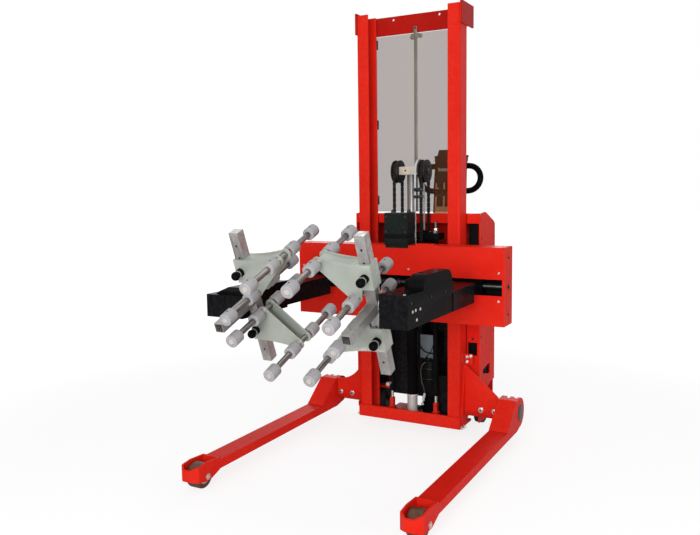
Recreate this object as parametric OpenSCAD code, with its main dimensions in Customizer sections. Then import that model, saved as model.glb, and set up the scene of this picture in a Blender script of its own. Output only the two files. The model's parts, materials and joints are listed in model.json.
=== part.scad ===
// Stacker with a clamp-and-turn drum tipper on its lifting carriage.
// X runs across the machine, -Y is its front, Z is up, and the floor is Z = 0.
// Every module is written about the front face of the mast at Y = 0;
// the last lines shift the whole machine so that its footprint is centred.

/* [Mast] */
// Height of the top of the uprights above the floor
mast_h = 1980; // [1500:10:2600]
// Width over the two uprights
mast_w = 515; // [480:5:560]
// Depth of an upright from its front face to its rear face
channel_d = 95; // [90:1:100]
// Width of the flanges of an upright
flange_w = 59; // [50:1:66]
// Wall of an upright
channel_t = 8; // [6:0.5:9]
// Height of the foot of the mast above the floor
mast_foot = 49; // [40:1:60]
// Height of the side plates of the top bridge
bridge_h = 97; // [80:1:120]

/* [Lift] */
// Radius of the lift cylinder's tube
cyl_r = 26.5; // [25:0.5:29]
// Height of the top of the cylinder's tube
cyl_top = 1000; // [960:5:1010]
// Radius of the piston rod
rod_r = 20; // [17:0.5:21]
// Height of the sheave axle at rest
sheave_z = 1245; // [1240:1:1270]
// Distance of each sheave's middle from the centre of the machine
sheave_x = 68; // [62:1:80]
// Radius at which the chain runs on its sheave
chain_r = 45; // [42:1:48]
// Width of a lift chain
chain_w = 15; // [12:1:18]

/* [Carriage] */
// Width of the carriage beam
beam_w = 1019; // [980:1:1060]
// Height of the carriage beam
beam_h = 339; // [330:1:350]
// Depth of the carriage beam
beam_d = 114; // [110:1:125]
// Height of the carriage beam's underside at rest
beam_z = 573; // [560:1:600]
// Plate of the carriage beam
beam_t = 8; // [6:0.5:10]
// Height of the slot that the arms slide along
slot_h = 70; // [64:1:74]
// Radius of the two guide rods inside the beam
guide_r = 15; // [12:0.5:18]
// Radius of the clamping screw
screw_r = 12; // [10:0.5:14]

/* [Arms] */
// Distance from the centre of the machine to the inner side of an arm
arm_x = 292; // [290:1:300]
// Width of the right arm
arm_w = 112; // [105:1:120]
// Distance from the front of the mast to the front of an arm
arm_reach = 907; // [800:1:1000]
// Height of an arm's box
arm_h = 121; // [116:1:130]
// Height of an arm's underside at rest
arm_z = 684; // [680:1:690]
// Sheet that an arm is made of
arm_t = 5; // [4:0.5:6]
// How much wider the left arm is than the right one at its front
left_extra = 60; // [30:1:70]

/* [Gripper heads] */
// Nose-down tilt of the heads at rest, in degrees
head_tilt = 21.3; // [0:0.1:45]
// Distance of the heads' turning axis ahead of the mast
axis_reach = 854; // [780:1:860]
// Height of the heads' turning axis at rest
axis_z = 765; // [755:1:775]
// Distance from the centre of the machine to the middle of a post
post_x = 262; // [258:0.5:263]
// Side of a post's square tube
post_w = 40; // [36:1:40]
// Length of a post
post_len = 558; // [540:2:600]
// Distance of a post ahead of the turning axis
post_ahead = 20; // [18:1:26]
// Spacing of the adjusting holes in a post
hole_pitch = 50; // [40:1:60]
// Height of a slider's middle above or below the turning axis
slide_z = 126; // [120:1:132]
// Length of a slider's sleeve
sleeve_len = 96; // [80:1:110]

/* [Pad bars] */
// Radius of a bar
bar_r = 11; // [9:0.5:13]
// Length over a bar and its end pads
bar_len = 496; // [460:2:540]
// Radius of a grip pad
pad_r = 24; // [22:0.5:28]
// Length of a grip pad
pad_len = 52; // [40:1:58]
// Distance of an inner pad's middle from the middle of its bar
pad_in = 74; // [70:1:85]
// Inner bar of a slider: distance from the centre of the machine
bar_a_x = 84; // [78:1:95]
// Inner bar of a slider: height from the turning axis
bar_a_z = 177; // [165:1:190]
// Outer bar of a slider: distance from the centre of the machine
bar_b_x = 211; // [200:1:212]
// Outer bar of a slider: height from the turning axis
bar_b_z = 45; // [38:1:50]

/* [Legs] */
// Distance from the centre of the machine to the inner side of a leg
leg_x = 426; // [420:1:440]
// Width of a leg
leg_w = 86; // [80:1:95]
// Height of a leg's section
leg_h = 38; // [34:1:44]
// Height of a leg's underside above the floor
leg_z = 56; // [50:1:60]
// Distance from the front of the mast to the tip of a leg
leg_reach = 1060; // [900:1:1200]
// Radius of a load wheel
load_r = 50; // [44:1:52]
// Radius of the cross tube that carries the legs
cross_r = 45; // [42:0.5:48]
// Wall of the cross tube
cross_t = 5; // [4:0.5:6]
// Distance of the cross tube's axis behind the front of the mast
cross_y = 105; // [100:1:112]
// Height of the cross tube's axis above the floor
cross_z = 134; // [128:1:140]

/* [Chassis] */
// Width of the chassis
chassis_w = 644; // [620:2:680]
// Distance from the front of the mast to the rear of the chassis sides
chassis_rear = 318; // [300:1:340]
// Height of the chassis sides
chassis_h = 1052; // [1040:1:1080]
// Sheet of the chassis
chassis_t = 6; // [4:0.5:8]
// Radius of the drive wheel
drive_r = 115; // [105:1:125]
// Distance of the steering axis behind the front of the mast
steer_y = 470; // [450:1:490]
// Radius of a castor's wheel
castor_r = 62; // [50:1:70]

/* [Tiller] */
// Height of the pivot of the tiller
tiller_z = 700; // [680:5:720]
// Length of the tiller from its pivot to the middle of its grips
tiller_len = 518; // [480:5:560]
// Lean of the parked tiller, in degrees
tiller_lean = 7; // [0:1:20]
// Radius of the grip tube
grip_r = 15; // [12:0.5:16]
// Distance from the tiller's middle to the outside of a grip
grip_x = 181; // [160:1:190]

/* [Hidden] */
$fn = 64;

// Clearances: a running fit, a gap between parts that pass each other, and a close gap
fit = 0.05;
pass = 1.5;
close = 0.3;

mast_x = mast_w / 2;
flange_x = mast_x - flange_w;
bridge_t = 8.5;
bridge_rear = channel_d + 12;
foot_y = -10;
foot_h = 57;
foot_t = 10;
gusset_top = 343;

cyl_y = channel_d / 2;
cyl_foot_r = 24;
cyl_foot_top = mast_foot + 126;
gland_h = 30;
gland_r = cyl_r + 4;
rod_low = 345;
head_h = 38;
head_d = 50;
head_z0 = sheave_z - 15;
axle_r = 10;
sheave_w = 30;
sheave_r = chain_r + 9;
anchor_z = 925;
anchor_h = 30;
clevis_top = 965;
tie_x = 115;
tie_y = 65;
tie_r = 13.5;
stud_r = 6.5;
chain_t = 10;
cable_r = 4;
cable_x = 42;
cable_wrap = 54;

beam_x = beam_w / 2;
beam_front = -145;
beam_rear = beam_front + beam_d;
beam_top = beam_z + beam_h;
slot_z = arm_z + 21;
guide_y = beam_front + 55;
guide_low = arm_z - 2;
guide_high = arm_z + 116;
screw_z = slot_z + slot_h / 2;
screw_y = guide_y + 2;
chain_anchor_top = 640;
roller_r = 39;
roller_w = 36;
block_w = arm_w - 8;

arm_out = arm_x + arm_w;
arm_front = -arm_reach;
arm_top = arm_z + arm_h;
lid_seam = arm_z + 74;
arm_mid = -470;
arm_low_top = arm_z + 81;
arm_rear = beam_front - 80;
left_low = arm_z - 10;
left_seam = arm_z + 79;
left_top = arm_z + 104;
hump_front = arm_mid - 300;
hump_rear = arm_mid - 14;
hump_top = arm_top + 54;
motor_y = arm_mid - 110;
tongue_h = slot_h - 20;
shaft_r = 17.5;
hub_r = 34;
axis_y = -axis_reach;
post_y = -post_ahead;
post_t = 3;
sleeve_t = 4.6;
sleeve_w = post_w + 2 * sleeve_t + 0.8;
web_t = 6;
web_sag = 8;
web_y = sleeve_w / 2;
eye_r = bar_r + 11;
nose_len = 212;
nose_w = 36;
pin_r = 4;
bush_len = 20;

leg_out = leg_x + leg_w;
leg_top = leg_z + leg_h;
fork_x0 = leg_x;
fork_x1 = leg_out;
fork_z0 = leg_z - 24;
fork_top = leg_top + 16;
fork_len = 157;
fork_t = 8;
load_y = -leg_reach + 80;
load_w = 54;
inner_r = cross_r - cross_t - fit;
block_r = cross_r + 23;

chassis_x = chassis_w / 2;
lip_h = 45;
castor_x = 262;
castor_y = 262;
castor_trail = 34;
castor_w = 40;
drive_w = 74;
hood_x = 205;
hood_rear = steer_y + 165;
hood_top = 615;
column_r = 40;
side_low = 60;
window_low = 880;
window_round = 12;
deck_z = 640;
battery_x = 250;
battery_len = 240;
battery_h = 215;
lip_y = channel_d + 12;
castor_top = 2 * castor_r + 14;
pump_x = 50;
pump_y = 150;
pump_r = 42;
pump_foot_h = 95;
pump_h = 170;
relay_z = 330;
tiller_y = steer_y + 30;

// The footprint runs from the noses of the upper pads to the rear of the drive hood
nose_y = axis_y - (bar_len / 2 + post_ahead) * cos(head_tilt) - (bar_a_z + pad_r) * sin(head_tilt);
tiller_rear = tiller_y + 34 * cos(tiller_lean) + (tiller_len + 140) * sin(tiller_lean);
mid_y = (nose_y + max(hood_rear, tiller_rear)) / 2;

RED = [0.80, 0.11, 0.07];
BLACK = [0.06, 0.06, 0.07];
STEEL = [0.62, 0.63, 0.62];
ZINC = [0.72, 0.73, 0.74];
PLATE = [0.66, 0.70, 0.64];
PAD = [0.74, 0.75, 0.76];

// Helpers

module box(lo, hi) {
  translate(lo)
    cube([hi[0] - lo[0], hi[1] - lo[1], hi[2] - lo[2]]);
}

module rod_x(r, x0, x1, y, z) {
  translate([x0, y, z])
    rotate([0, 90, 0])
      cylinder(h = x1 - x0, r = r);
}

module rod_y(r, y0, y1, x, z) {
  translate([x, y1, z])
    rotate([90, 0, 0])
      cylinder(h = y1 - y0, r = r);
}

module rod_z(r, z0, z1, x, y) {
  translate([x, y, z0])
    cylinder(h = z1 - z0, r = r);
}

// A profile drawn in Y and Z, made solid from x0 to x1
module slab_x(x0, x1) {
  translate([x0, 0, 0])
    rotate([90, 0, 90])
      linear_extrude(x1 - x0)
        children();
}

// A profile drawn in X and Z, made solid from y0 to y1
module slab_y(y0, y1) {
  translate([0, y1, 0])
    rotate([90, 0, 0])
      linear_extrude(y1 - y0)
        children();
}

module hex_head(r, h) {
  cylinder(h = h, r = r, $fn = 6);
}

module bolt_y(x, y, z, r, h) {
  translate([x, y, z])
    rotate([90, 0, 0])
      hex_head(r, h);
}

module both_sides() {
  children();
  mirror([1, 0, 0])
    children();
}

// Places children in the turning heads' own frame: origin on the axis, tilted as at rest
module on_head() {
  translate([0, axis_y, axis_z])
    rotate([head_tilt, 0, 0])
      children();
}

// The mast

module channel_profile() {
  round_r = 9;
  difference() {
    union() {
      translate([flange_x, 0])
        square([flange_w - round_r, channel_d]);
      translate([mast_x - round_r - 1, round_r])
        square([round_r + 1, channel_d - 2 * round_r]);
      for (y = [round_r, channel_d - round_r])
        translate([mast_x - round_r, y])
          circle(r = round_r);
    }
    translate([flange_x - 1, channel_t])
      square([flange_w - channel_t + 1, channel_d - 2 * channel_t]);
  }
}

module upright() {
  translate([0, 0, mast_foot + foot_t])
    linear_extrude(mast_h - mast_foot - foot_t)
      channel_profile();
}

module right_upright() {
  color(RED)
    upright();
}

module left_upright() {
  color(RED)
    mirror([1, 0, 0])
      upright();
}

module top_bridge() {
  z0 = mast_h + 10 - bridge_h;
  color(RED) {
    difference() {
      union() {
        both_sides()
          box([mast_x, 0, z0], [mast_x + bridge_t, channel_d + 63, mast_h + 10]);
        box([-mast_x - 1, bridge_rear, z0 + 2], [mast_x + 1, bridge_rear + 10, mast_h]);
        both_sides()
          box([flange_x + 6, channel_d, z0 + 8], [mast_x, bridge_rear, mast_h - 8]);
      }
      for (x = [-117, 117])
        rod_y(6, bridge_rear - 1, bridge_rear + 11, x, mast_h - 15);
    }
  }
}

module base_frame() {
  color(RED)
    difference() {
      union() {
        box([-mast_x - 5, foot_y, mast_foot], [mast_x + 5, 0, mast_foot + foot_h]);
        box([-mast_x - 5, 0, mast_foot], [mast_x + 5, channel_d + 55, mast_foot + foot_t]);
        box([-158, channel_d + 54, mast_foot], [158, channel_d + 150, mast_foot + foot_t]);
        gusset_plate()
          straight_gusset();
        mirror([1, 0, 0])
          gusset_plate()
            curved_gusset();
        both_sides() {
          gusset_flange();
          box([mast_x, 70, gusset_top - 4], [mast_x + 38, 78, gusset_top + 49]);
          rod_x(cross_r, mast_x + 8, leg_x - 2, cross_y, cross_z);
          base_clevis();
        }
      }
      both_sides() {
        rod_x(cross_r - cross_t, mast_x + 14, leg_x, cross_y, cross_z);
        rod_z(stud_r + fit, mast_foot - 1, mast_foot + 92, tie_x, tie_y);
      }
    }
}

// Plate between an upright and its cross tube
module gusset_plate() {
  slab_y(cross_y - cross_r - 3, cross_y - cross_r + 7)
    children();
}

module straight_gusset() {
  polygon([
    [mast_x, cross_z + 12], [leg_x - 4, cross_z + 12], [leg_x - 4, cross_z + 70],
    [mast_x + 10, gusset_top], [mast_x, gusset_top]
  ]);
}

module curved_gusset() {
  difference() {
    polygon([
      [mast_x, cross_z + 12], [leg_x - 4, cross_z + 12], [leg_x - 4, gusset_top], [mast_x, gusset_top]
    ]);
    translate([mast_x + 162, gusset_top + 10])
      circle(r = 150);
  }
}

// Plate welded to the outer side of an upright, behind its gusset
module gusset_flange() {
  slab_x(mast_x, mast_x + 8)
    polygon([
      [8, mast_foot + 10], [channel_d, mast_foot + 10], [channel_d, gusset_top],
      [cross_y - cross_r - 3, gusset_top]
    ]);
}

module base_clevis() {
  box([tie_x - 15, tie_y - 15, mast_foot + foot_t], [tie_x + 15, tie_y + 15, mast_foot + foot_t + 38]);
  box([tie_x - 9, tie_y - 12, mast_foot + foot_t + 38], [tie_x + 9, tie_y + 12, mast_foot + 91]);
}

module lift_cylinder() {
  z1 = mast_foot + foot_t;
  color(BLACK)
    difference() {
      union() {
        rod_z(cyl_foot_r, z1, cyl_foot_top, 0, cyl_y);
        rod_z(cyl_r, cyl_foot_top, cyl_top - gland_h, 0, cyl_y);
        rod_z(gland_r, cyl_top - gland_h, cyl_top, 0, cyl_y);
      }
      rod_z(rod_r + 1, cyl_foot_top - 60, cyl_top - gland_h + 2, 0, cyl_y);
      rod_z(rod_r + fit, cyl_top - gland_h, cyl_top + 1, 0, cyl_y);
    }
}

module chain_anchor_bar() {
  color(BLACK) {
    difference() {
      union() {
        box([-tie_x - 26, cyl_y - 4, anchor_z], [tie_x + 26, cyl_y + 62, anchor_z + anchor_h]);
        rod_z(cyl_r + 12, anchor_z, anchor_z + anchor_h, 0, cyl_y);
      }
      rod_z(cyl_r, anchor_z - 1, anchor_z + anchor_h + 1, 0, cyl_y);
    }
    both_sides()
      anchor_clevis();
    both_sides()
      tie_rod();
  }
}

module anchor_clevis() {
  z0 = anchor_z + anchor_h;
  box([sheave_x - 10, cyl_y + chain_r - 8, z0], [sheave_x + 10, cyl_y + chain_r + 8, clevis_top]);
  box([cable_x - 7, cyl_y + cable_wrap - 7, z0], [cable_x + 7, cyl_y + cable_wrap + 7, clevis_top]);
}

module tie_rod() {
  z0 = mast_foot + 126;
  rod_z(stud_r, mast_foot + 6, z0, tie_x, tie_y);
  rod_z(tie_r, z0, anchor_z, tie_x, tie_y);
  rod_z(stud_r, anchor_z + anchor_h, anchor_z + anchor_h + 55, tie_x, tie_y);
  translate([tie_x, tie_y, anchor_z + anchor_h])
    hex_head(12, 11);
}

module guard_panel() {
  y0 = lip_y - 1;
  z0 = chassis_h + 2;
  z1 = mast_h - 89;
  color([0.75, 0.78, 0.80, 0.5])
    box([-mast_x + 29, y0, z0], [mast_x - 29, y0 + 3, z1]);
  color(BLACK)
    for (z = [z0 + 60, z0 + 300, z0 + 520, z1 - 60])
      both_sides()
        box([flange_x - 12, channel_d, z - 20], [flange_x + 28, y0, z + 20]);
  color(STEEL) {
    box([-8, y0 - 3, z0], [8, y0, z1 - 26]);
    box([-24, y0 - 6, z1 - 26], [36, y0, z1 + 40]);
  }
}

// The lift

module crosshead() {
  head_x = sheave_x - sheave_w / 2 - 1;
  color(ZINC) {
    difference() {
      box([-head_x, cyl_y - head_d / 2, head_z0], [head_x, cyl_y + head_d / 2, head_z0 + head_h]);
      rod_z(rod_r, head_z0 - 1, head_z0 + 14, 0, cyl_y);
    }
    both_sides()
      rod_x(axle_r, head_x, sheave_x + sheave_w / 2 + 6, cyl_y, sheave_z);
    // Guide shoe that the signal cable bends over
    difference() {
      rod_x(cable_wrap - cable_r, cable_x - 5, cable_x + 5, cyl_y, sheave_z);
      box([cable_x - 6, cyl_y - 80, sheave_z - 80], [cable_x + 6, cyl_y + 80, sheave_z - 8]);
      box([-head_x - 1, cyl_y - head_d / 2, head_z0],
          [head_x + 1, cyl_y + head_d / 2, head_z0 + head_h]);
    }
  }
}

module piston_rod() {
  color(ZINC)
    rod_z(rod_r, rod_low, head_z0 + 14, 0, cyl_y);
}

module sheave(x) {
  color(BLACK)
    difference() {
      union() {
        rod_x(chain_r - chain_t / 2 - close, x - sheave_w / 2, x + sheave_w / 2, cyl_y, sheave_z);
        for (s = [-1, 1])
          rod_x(sheave_r, x + s * (sheave_w / 2 - 3) - 3, x + s * (sheave_w / 2 - 3) + 3,
              cyl_y, sheave_z);
      }
      rod_x(axle_r + fit, x - sheave_w, x + sheave_w, cyl_y, sheave_z);
    }
}

module left_sheave() {
  sheave(-sheave_x);
}

module right_sheave() {
  sheave(sheave_x);
}

module chain_run(x, y, z0, z1) {
  box([x - chain_w / 2, y - chain_t / 2, z0], [x + chain_w / 2, y + chain_t / 2, z1]);
}

module chain_rear_runs() {
  color(BLACK)
    for (s = [-1, 1])
      chain_run(s * sheave_x, cyl_y + chain_r, clevis_top, sheave_z - 1);
  color(ZINC)
    rod_z(cable_r, clevis_top, sheave_z - 1, cable_x, cyl_y + cable_wrap);
}

module chain_front_runs() {
  color(BLACK)
    for (s = [-1, 1])
      chain_run(s * sheave_x, cyl_y - chain_r, chain_anchor_top, sheave_z - 1);
  color(ZINC)
    rod_z(cable_r, chain_anchor_top, sheave_z - 1, cable_x, cyl_y - cable_wrap);
}

module half_ring(x0, x1, r0, r1) {
  difference() {
    rod_x(r1, x0, x1, cyl_y, sheave_z);
    rod_x(r0, x0 - 1, x1 + 1, cyl_y, sheave_z);
    box([x0 - 1, cyl_y - r1 - 1, sheave_z - r1 - 1], [x1 + 1, cyl_y + r1 + 1, sheave_z]);
  }
}

module chain_sheave_arcs() {
  color(BLACK)
    for (s = [-1, 1])
      half_ring(s * sheave_x - chain_w / 2, s * sheave_x + chain_w / 2,
          chain_r - chain_t / 2, chain_r + chain_t / 2);
  color(ZINC)
    half_ring(cable_x - cable_r, cable_x + cable_r, cable_wrap - cable_r + close, cable_wrap + cable_r);
}

// The carriage

module carriage_beam() {
  z1 = beam_top;
  color(RED) {
    difference() {
      box([-beam_x, beam_front, beam_z], [beam_x, beam_rear, z1]);
      box([-beam_x + beam_t, beam_front + beam_t, beam_z + beam_t],
          [beam_x - beam_t, beam_rear - beam_t, z1 - beam_t]);
      box([-beam_x + 11, beam_front - 1, slot_z],
          [beam_x - 11, beam_front + beam_t + 1, slot_z + slot_h]);
      for (s = [-1, 1]) {
        rod_x(screw_r + fit, s * (beam_x - beam_t / 2) - 6, s * (beam_x - beam_t / 2) + 6,
            screw_y, screw_z);
      }
    }
    // Tab on the top edge
    box([104, beam_front + 2, z1], [188, beam_front + 14, z1 + 9]);
    // Side plates that carry the mast rollers, and the bracket that the chains pull on
    both_sides() {
      box([172, beam_rear, beam_z + 10], [184, cyl_y + 22, z1 - 10]);
      box([sheave_x - 16, beam_rear, chain_anchor_top - 40],
          [sheave_x + 16, cyl_y - chain_r - 14, chain_anchor_top - 6]);
      box([sheave_x - 10, cyl_y - chain_r - 14, chain_anchor_top - 30],
          [sheave_x + 10, cyl_y - chain_r + 8, chain_anchor_top]);
    }
    box([cable_x - 9, beam_rear, chain_anchor_top - 28],
        [sheave_x - 14, cyl_y - cable_wrap + 8, chain_anchor_top]);
  }
}

module mast_rollers() {
  color(BLACK)
    both_sides()
      for (z = [beam_z + 62, beam_top - 62]) {
        rod_x(14, 184, mast_x - channel_t - roller_w - 7, cyl_y, z);
        rod_x(roller_r, mast_x - channel_t - roller_w - 7, mast_x - channel_t - 7, cyl_y, z);
      }
}

module valve_box() {
  x0 = -48;
  x1 = 66;
  y0 = beam_front - 8;
  y1 = -62;
  top = beam_top + 145;
  color(BLACK) {
    difference() {
      box([x0, y0, beam_top], [x1, y1, top]);
      for (x = [x0, x1])
        box([x - 3, y0 - 1, beam_top + 30], [x + 3, y1 + 1, beam_top + 50]);
      box([x0 - 1, y0 - 1, beam_top + 30], [x1 + 1, y0 + 3, beam_top + 50]);
    }
    box([x0 + 6, y0, beam_top - 12], [x1 + 2, beam_front, beam_top]);
  }
}

module guide_rods() {
  color(STEEL)
    for (z = [guide_low, guide_high])
      rod_x(guide_r, -beam_x + beam_t, beam_x - beam_t, guide_y, z);
}

module clamp_screw() {
  color(STEEL) {
    rod_x(screw_r, -beam_x + 1, beam_x - 1, screw_y, screw_z);
    rod_x(screw_r + 9, -8, 8, screw_y, screw_z);
  }
}

// The arms

// Runs on the guide rods inside the beam and reaches out through its slot
module arm_slide() {
  x0 = arm_x + 4;
  x1 = x0 + block_w;
  difference() {
    union() {
      box([x0, guide_y - 38, guide_low - 26], [x1, guide_y + 38, guide_high + 26]);
      box([x0 + 4, arm_rear - 3, screw_z - tongue_h / 2], [x1 - 4, guide_y, screw_z + tongue_h / 2]);
    }
    for (z = [guide_low, guide_high])
      rod_x(guide_r + fit, x0 - 1, x1 + 1, guide_y, z);
    rod_x(screw_r + fit, x0 - 1, x1 + 1, screw_y, screw_z);
  }
}

module right_arm() {
  rear = arm_rear;
  color(BLACK) {
    difference() {
      union() {
        box([arm_x, arm_front + 3, arm_z], [arm_out - 3, arm_mid, arm_top - arm_t]);
        box([arm_x, arm_mid - 1, arm_z], [arm_out, rear, arm_low_top]);
      }
      box([arm_x + 8, arm_front + 3 + arm_t, arm_z + arm_t],
          [arm_out - 3 - arm_t, arm_mid - arm_t, arm_top + 1]);
      box([arm_x + arm_t, arm_mid + arm_t, arm_z + arm_t],
          [arm_out - arm_t, rear - arm_t, arm_low_top - arm_t]);
      rod_x(shaft_r + fit, arm_x - 1, arm_x + 9, axis_y, axis_z);
    }
    difference() {
      box([arm_out - 20, axis_y - 42, arm_z + arm_t],
          [arm_out - 3 - arm_t, axis_y + 42, arm_top - arm_t - 1]);
      rod_x(shaft_r + fit, arm_out - 21, arm_out - 12, axis_y, axis_z);
    }
    arm_slide();
  }
}

// Outline of a motor hood: straight front and back with rounded top corners
module hood_profile(y0, y1, z0, z1, r0, r1) {
  polygon([
    [y0, z0], [y1, z0],
    for (a = [0:7.5:90]) [y1 - r1 + r1 * cos(a), z1 - r1 + r1 * sin(a)],
    for (a = [90:7.5:180]) [y0 + r0 + r0 * cos(a), z1 - r0 + r0 * sin(a)]
  ]);
}

module right_arm_cover() {
  hood_x = arm_out - 60;
  inner_x = arm_x + 8;
  wall = 3;
  color(BLACK)
    difference() {
      union() {
        box([arm_x, arm_front, arm_top - arm_t], [arm_out, arm_mid, arm_top]);
        box([arm_out - 3, arm_front, lid_seam], [arm_out, arm_mid - 1, arm_top]);
        box([arm_x, arm_front, lid_seam], [arm_out, arm_front + 3, arm_top]);
        slab_x(hood_x, arm_out)
          hood_profile(hump_front, hump_rear, arm_top - arm_t, hump_top, 44, 52);
        slab_x(inner_x, hood_x)
          hood_profile(hump_front + 62, hump_rear - 12, arm_top - arm_t, hump_top - 24, 28, 28);
      }
      slab_x(hood_x + wall, arm_out - wall)
        hood_profile(hump_front + wall, hump_rear - wall, arm_top - arm_t - 1, hump_top - wall, 41, 49);
      slab_x(inner_x + wall, hood_x + wall + 1)
        hood_profile(hump_front + 65, hump_rear - 15, arm_top - arm_t - 1, hump_top - 27, 25, 25);
    }
}

module rotation_motor() {
  color(BLACK) {
    rod_x(40, arm_out - 54, arm_out - 10, motor_y, arm_top + 8);
    rod_x(16, arm_out - 88, arm_out - 54, motor_y, arm_top + 8);
    box([arm_out - 50, motor_y - 30, arm_z + arm_t], [arm_out - 16, motor_y + 30, arm_top]);
  }
}

module left_arm() {
  out = arm_out + left_extra;
  rear = arm_mid - 120;
  color(BLACK)
    mirror([1, 0, 0]) {
      difference() {
        union() {
          box([arm_x, arm_front, left_low], [out, rear, left_seam]);
          box([arm_x, arm_front + 30, left_low], [arm_x + 8, rear, left_top]);
          box([arm_x, rear - 1, arm_z], [arm_out, arm_rear, arm_low_top]);
        }
        box([arm_x + 8, arm_front + arm_t, left_low + arm_t],
            [out - arm_t, rear - arm_t, left_seam - arm_t]);
        box([arm_x + 8, arm_front + 31, arm_z], [out - 30, rear - 7, left_top + 1]);
        box([arm_x + arm_t, rear + 10, arm_z + arm_t],
            [arm_out - arm_t, arm_rear - arm_t, arm_low_top - arm_t]);
        rod_x(shaft_r + fit, arm_x - 1, arm_x + 9, axis_y, axis_z);
      }
      // Saddle that the turning shaft's end lies in
      difference() {
        box([arm_out - 20, axis_y - 20, left_low + 2], [arm_out - 8, axis_y + 42, axis_z + 9]);
        rod_x(shaft_r + fit, arm_out - 21, arm_out - 7, axis_y, axis_z);
      }
      arm_slide();
    }
}

// Low lid with its outer edge bent down, drawn inset by the wall for its hollow
module left_lid(inset) {
  y0 = arm_front + 26 + inset;
  y1 = arm_mid - 122 - inset;
  z0 = left_seam - (inset > 0 ? 1 : 0);
  z1 = left_top - inset;
  out = arm_out + left_extra - 26 - inset;
  intersection() {
    slab_y(y0, y1)
      polygon([
        [arm_x + 8 - (inset > 0 ? 1 : 0), z0], [out, z0], [out - 37, z1 - 4], [out - 43, z1],
        [arm_x + 8 - (inset > 0 ? 1 : 0), z1]
      ]);
    slab_x(arm_x, out + 1)
      polygon([[y0, z0], [y1, z0], [y1, z1], [y0 + 24, z1], [y0, z1 - 12]]);
  }
}

module left_arm_cover() {
  color(BLACK)
    mirror([1, 0, 0])
      difference() {
        left_lid(0);
        left_lid(3);
      }
}

// The gripper heads

module square_tube_z(x, y, w, t, z0, z1) {
  difference() {
    box([x - w / 2, y - w / 2, z0], [x + w / 2, y + w / 2, z1]);
    box([x - w / 2 + t, y - w / 2 + t, z0 + 3], [x + w / 2 - t, y + w / 2 - t, z1 - 3]);
  }
}

// The post, its nose tube and the shaft that turns in the arm
module head_body() {
  nose_y1 = post_y - post_w / 2;
  union() {
    difference() {
      square_tube_z(post_x, post_y, post_w, post_t, -post_len / 2, post_len / 2);
      for (s = [-1, 1], k = [-1:2])
        rod_y(pin_r + 0.5, post_y - post_w, post_y, post_x, s * (slide_z + k * hole_pitch));
    }
    difference() {
      box([post_x - nose_w / 2, nose_y1 - nose_len, -nose_w / 2],
          [post_x + nose_w / 2, nose_y1, nose_w / 2]);
      box([post_x - nose_w / 2 + 3, nose_y1 - nose_len - 1, -nose_w / 2 + 3],
          [post_x + nose_w / 2 - 3, nose_y1 - 3, nose_w / 2 - 3]);
      rod_z(4, nose_w / 2 - 4, nose_w / 2 + 1, post_x, nose_y1 - nose_len + 42);
    }
    rod_x(hub_r, post_x + post_w / 2, arm_x - pass, 0, 0);
    rod_x(shaft_r, arm_x - pass - 1, arm_out - 13, 0, 0);
  }
}

module right_head() {
  color(PLATE)
    on_head()
      head_body();
}

module left_head() {
  color(PLATE)
    on_head()
      mirror([1, 0, 0])
        head_body();
}

// Point at the share t of a line from a to b that sags in its middle
function sagged(a, b, t) = a + (b - a) * t - [0, 4 * web_sag * t * (1 - t)];

// Outline of a slider's web: from the sleeve to the eyes of the two bars
module web_profile() {
  top = slide_z + sleeve_len / 2;
  low = slide_z - sleeve_len / 2;
  out = post_x + sleeve_w / 2;
  d = norm([bar_b_x - bar_a_x, bar_b_z - bar_a_z]);
  n = [(bar_b_z - bar_a_z) / d, -(bar_b_x - bar_a_x) / d] * (eye_r - 1.5);
  polygon([
    [out, top], [out, low], [bar_b_x + eye_r + 8, low], [bar_b_x + eye_r - 1.5, bar_b_z],
    [bar_b_x, bar_b_z] + n, [bar_a_x, bar_a_z] + n,
    for (t = [0:0.125:0.875]) sagged([bar_a_x, bar_a_z + eye_r - 1.5], [out, top], t)
  ]);
  translate([bar_a_x, bar_a_z])
    circle(r = eye_r);
  translate([bar_b_x, bar_b_z])
    circle(r = eye_r);
}

module slider_body() {
  top = slide_z + sleeve_len / 2;
  low = slide_z - sleeve_len / 2;
  hole = post_w / 2 + 0.4;
  translate([0, post_y, 0]) {
    difference() {
      union() {
        box([post_x - sleeve_w / 2, -web_y, low], [post_x + sleeve_w / 2, web_y, top]);
        for (y = [-web_y - web_t, web_y])
          slab_y(y, y + web_t)
            web_profile();
        slab_y(-web_y, web_y)
          polygon([
            for (t = [0:0.125:1])
              sagged([bar_a_x + 4, bar_a_z + eye_r - 6], [post_x - sleeve_w / 2, top], t),
            for (t = [1:-0.125:0])
              sagged([bar_a_x + 4, bar_a_z + eye_r - 12], [post_x - sleeve_w / 2, top - 6], t)
          ]);
        rod_y(14, -web_y - web_t - bush_len, -web_y - web_t, post_x, slide_z);
      }
      box([post_x - hole, -hole, low - 1], [post_x + hole, hole, top + 1]);
      rod_y(pin_r + fit, -web_y - web_t - bush_len - 1, -hole + 1, post_x, slide_z);
    }
    for (b = [[bar_a_x, bar_a_z], [bar_b_x, bar_b_z]]) {
      rod_y(bar_r, -bar_len / 2 + 4, bar_len / 2 - 4, b[0], b[1]);
    }
  }
}

module slider_pads() {
  spots = [-bar_len / 2 + pad_len / 2, -pad_in, pad_in, bar_len / 2 - pad_len / 2];
  translate([0, post_y, 0])
    for (b = [[bar_a_x, bar_a_z], [bar_b_x, bar_b_z]], y = spots)
      difference() {
        rod_y(pad_r, y - pad_len / 2, y + pad_len / 2, b[0], b[1]);
        rod_y(bar_r, y - pad_len / 2 - 1, y + pad_len / 2 + 1, b[0], b[1]);
        rod_z(2.5, b[1], b[1] + pad_r + 1, b[0], y);
      }
}

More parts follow.
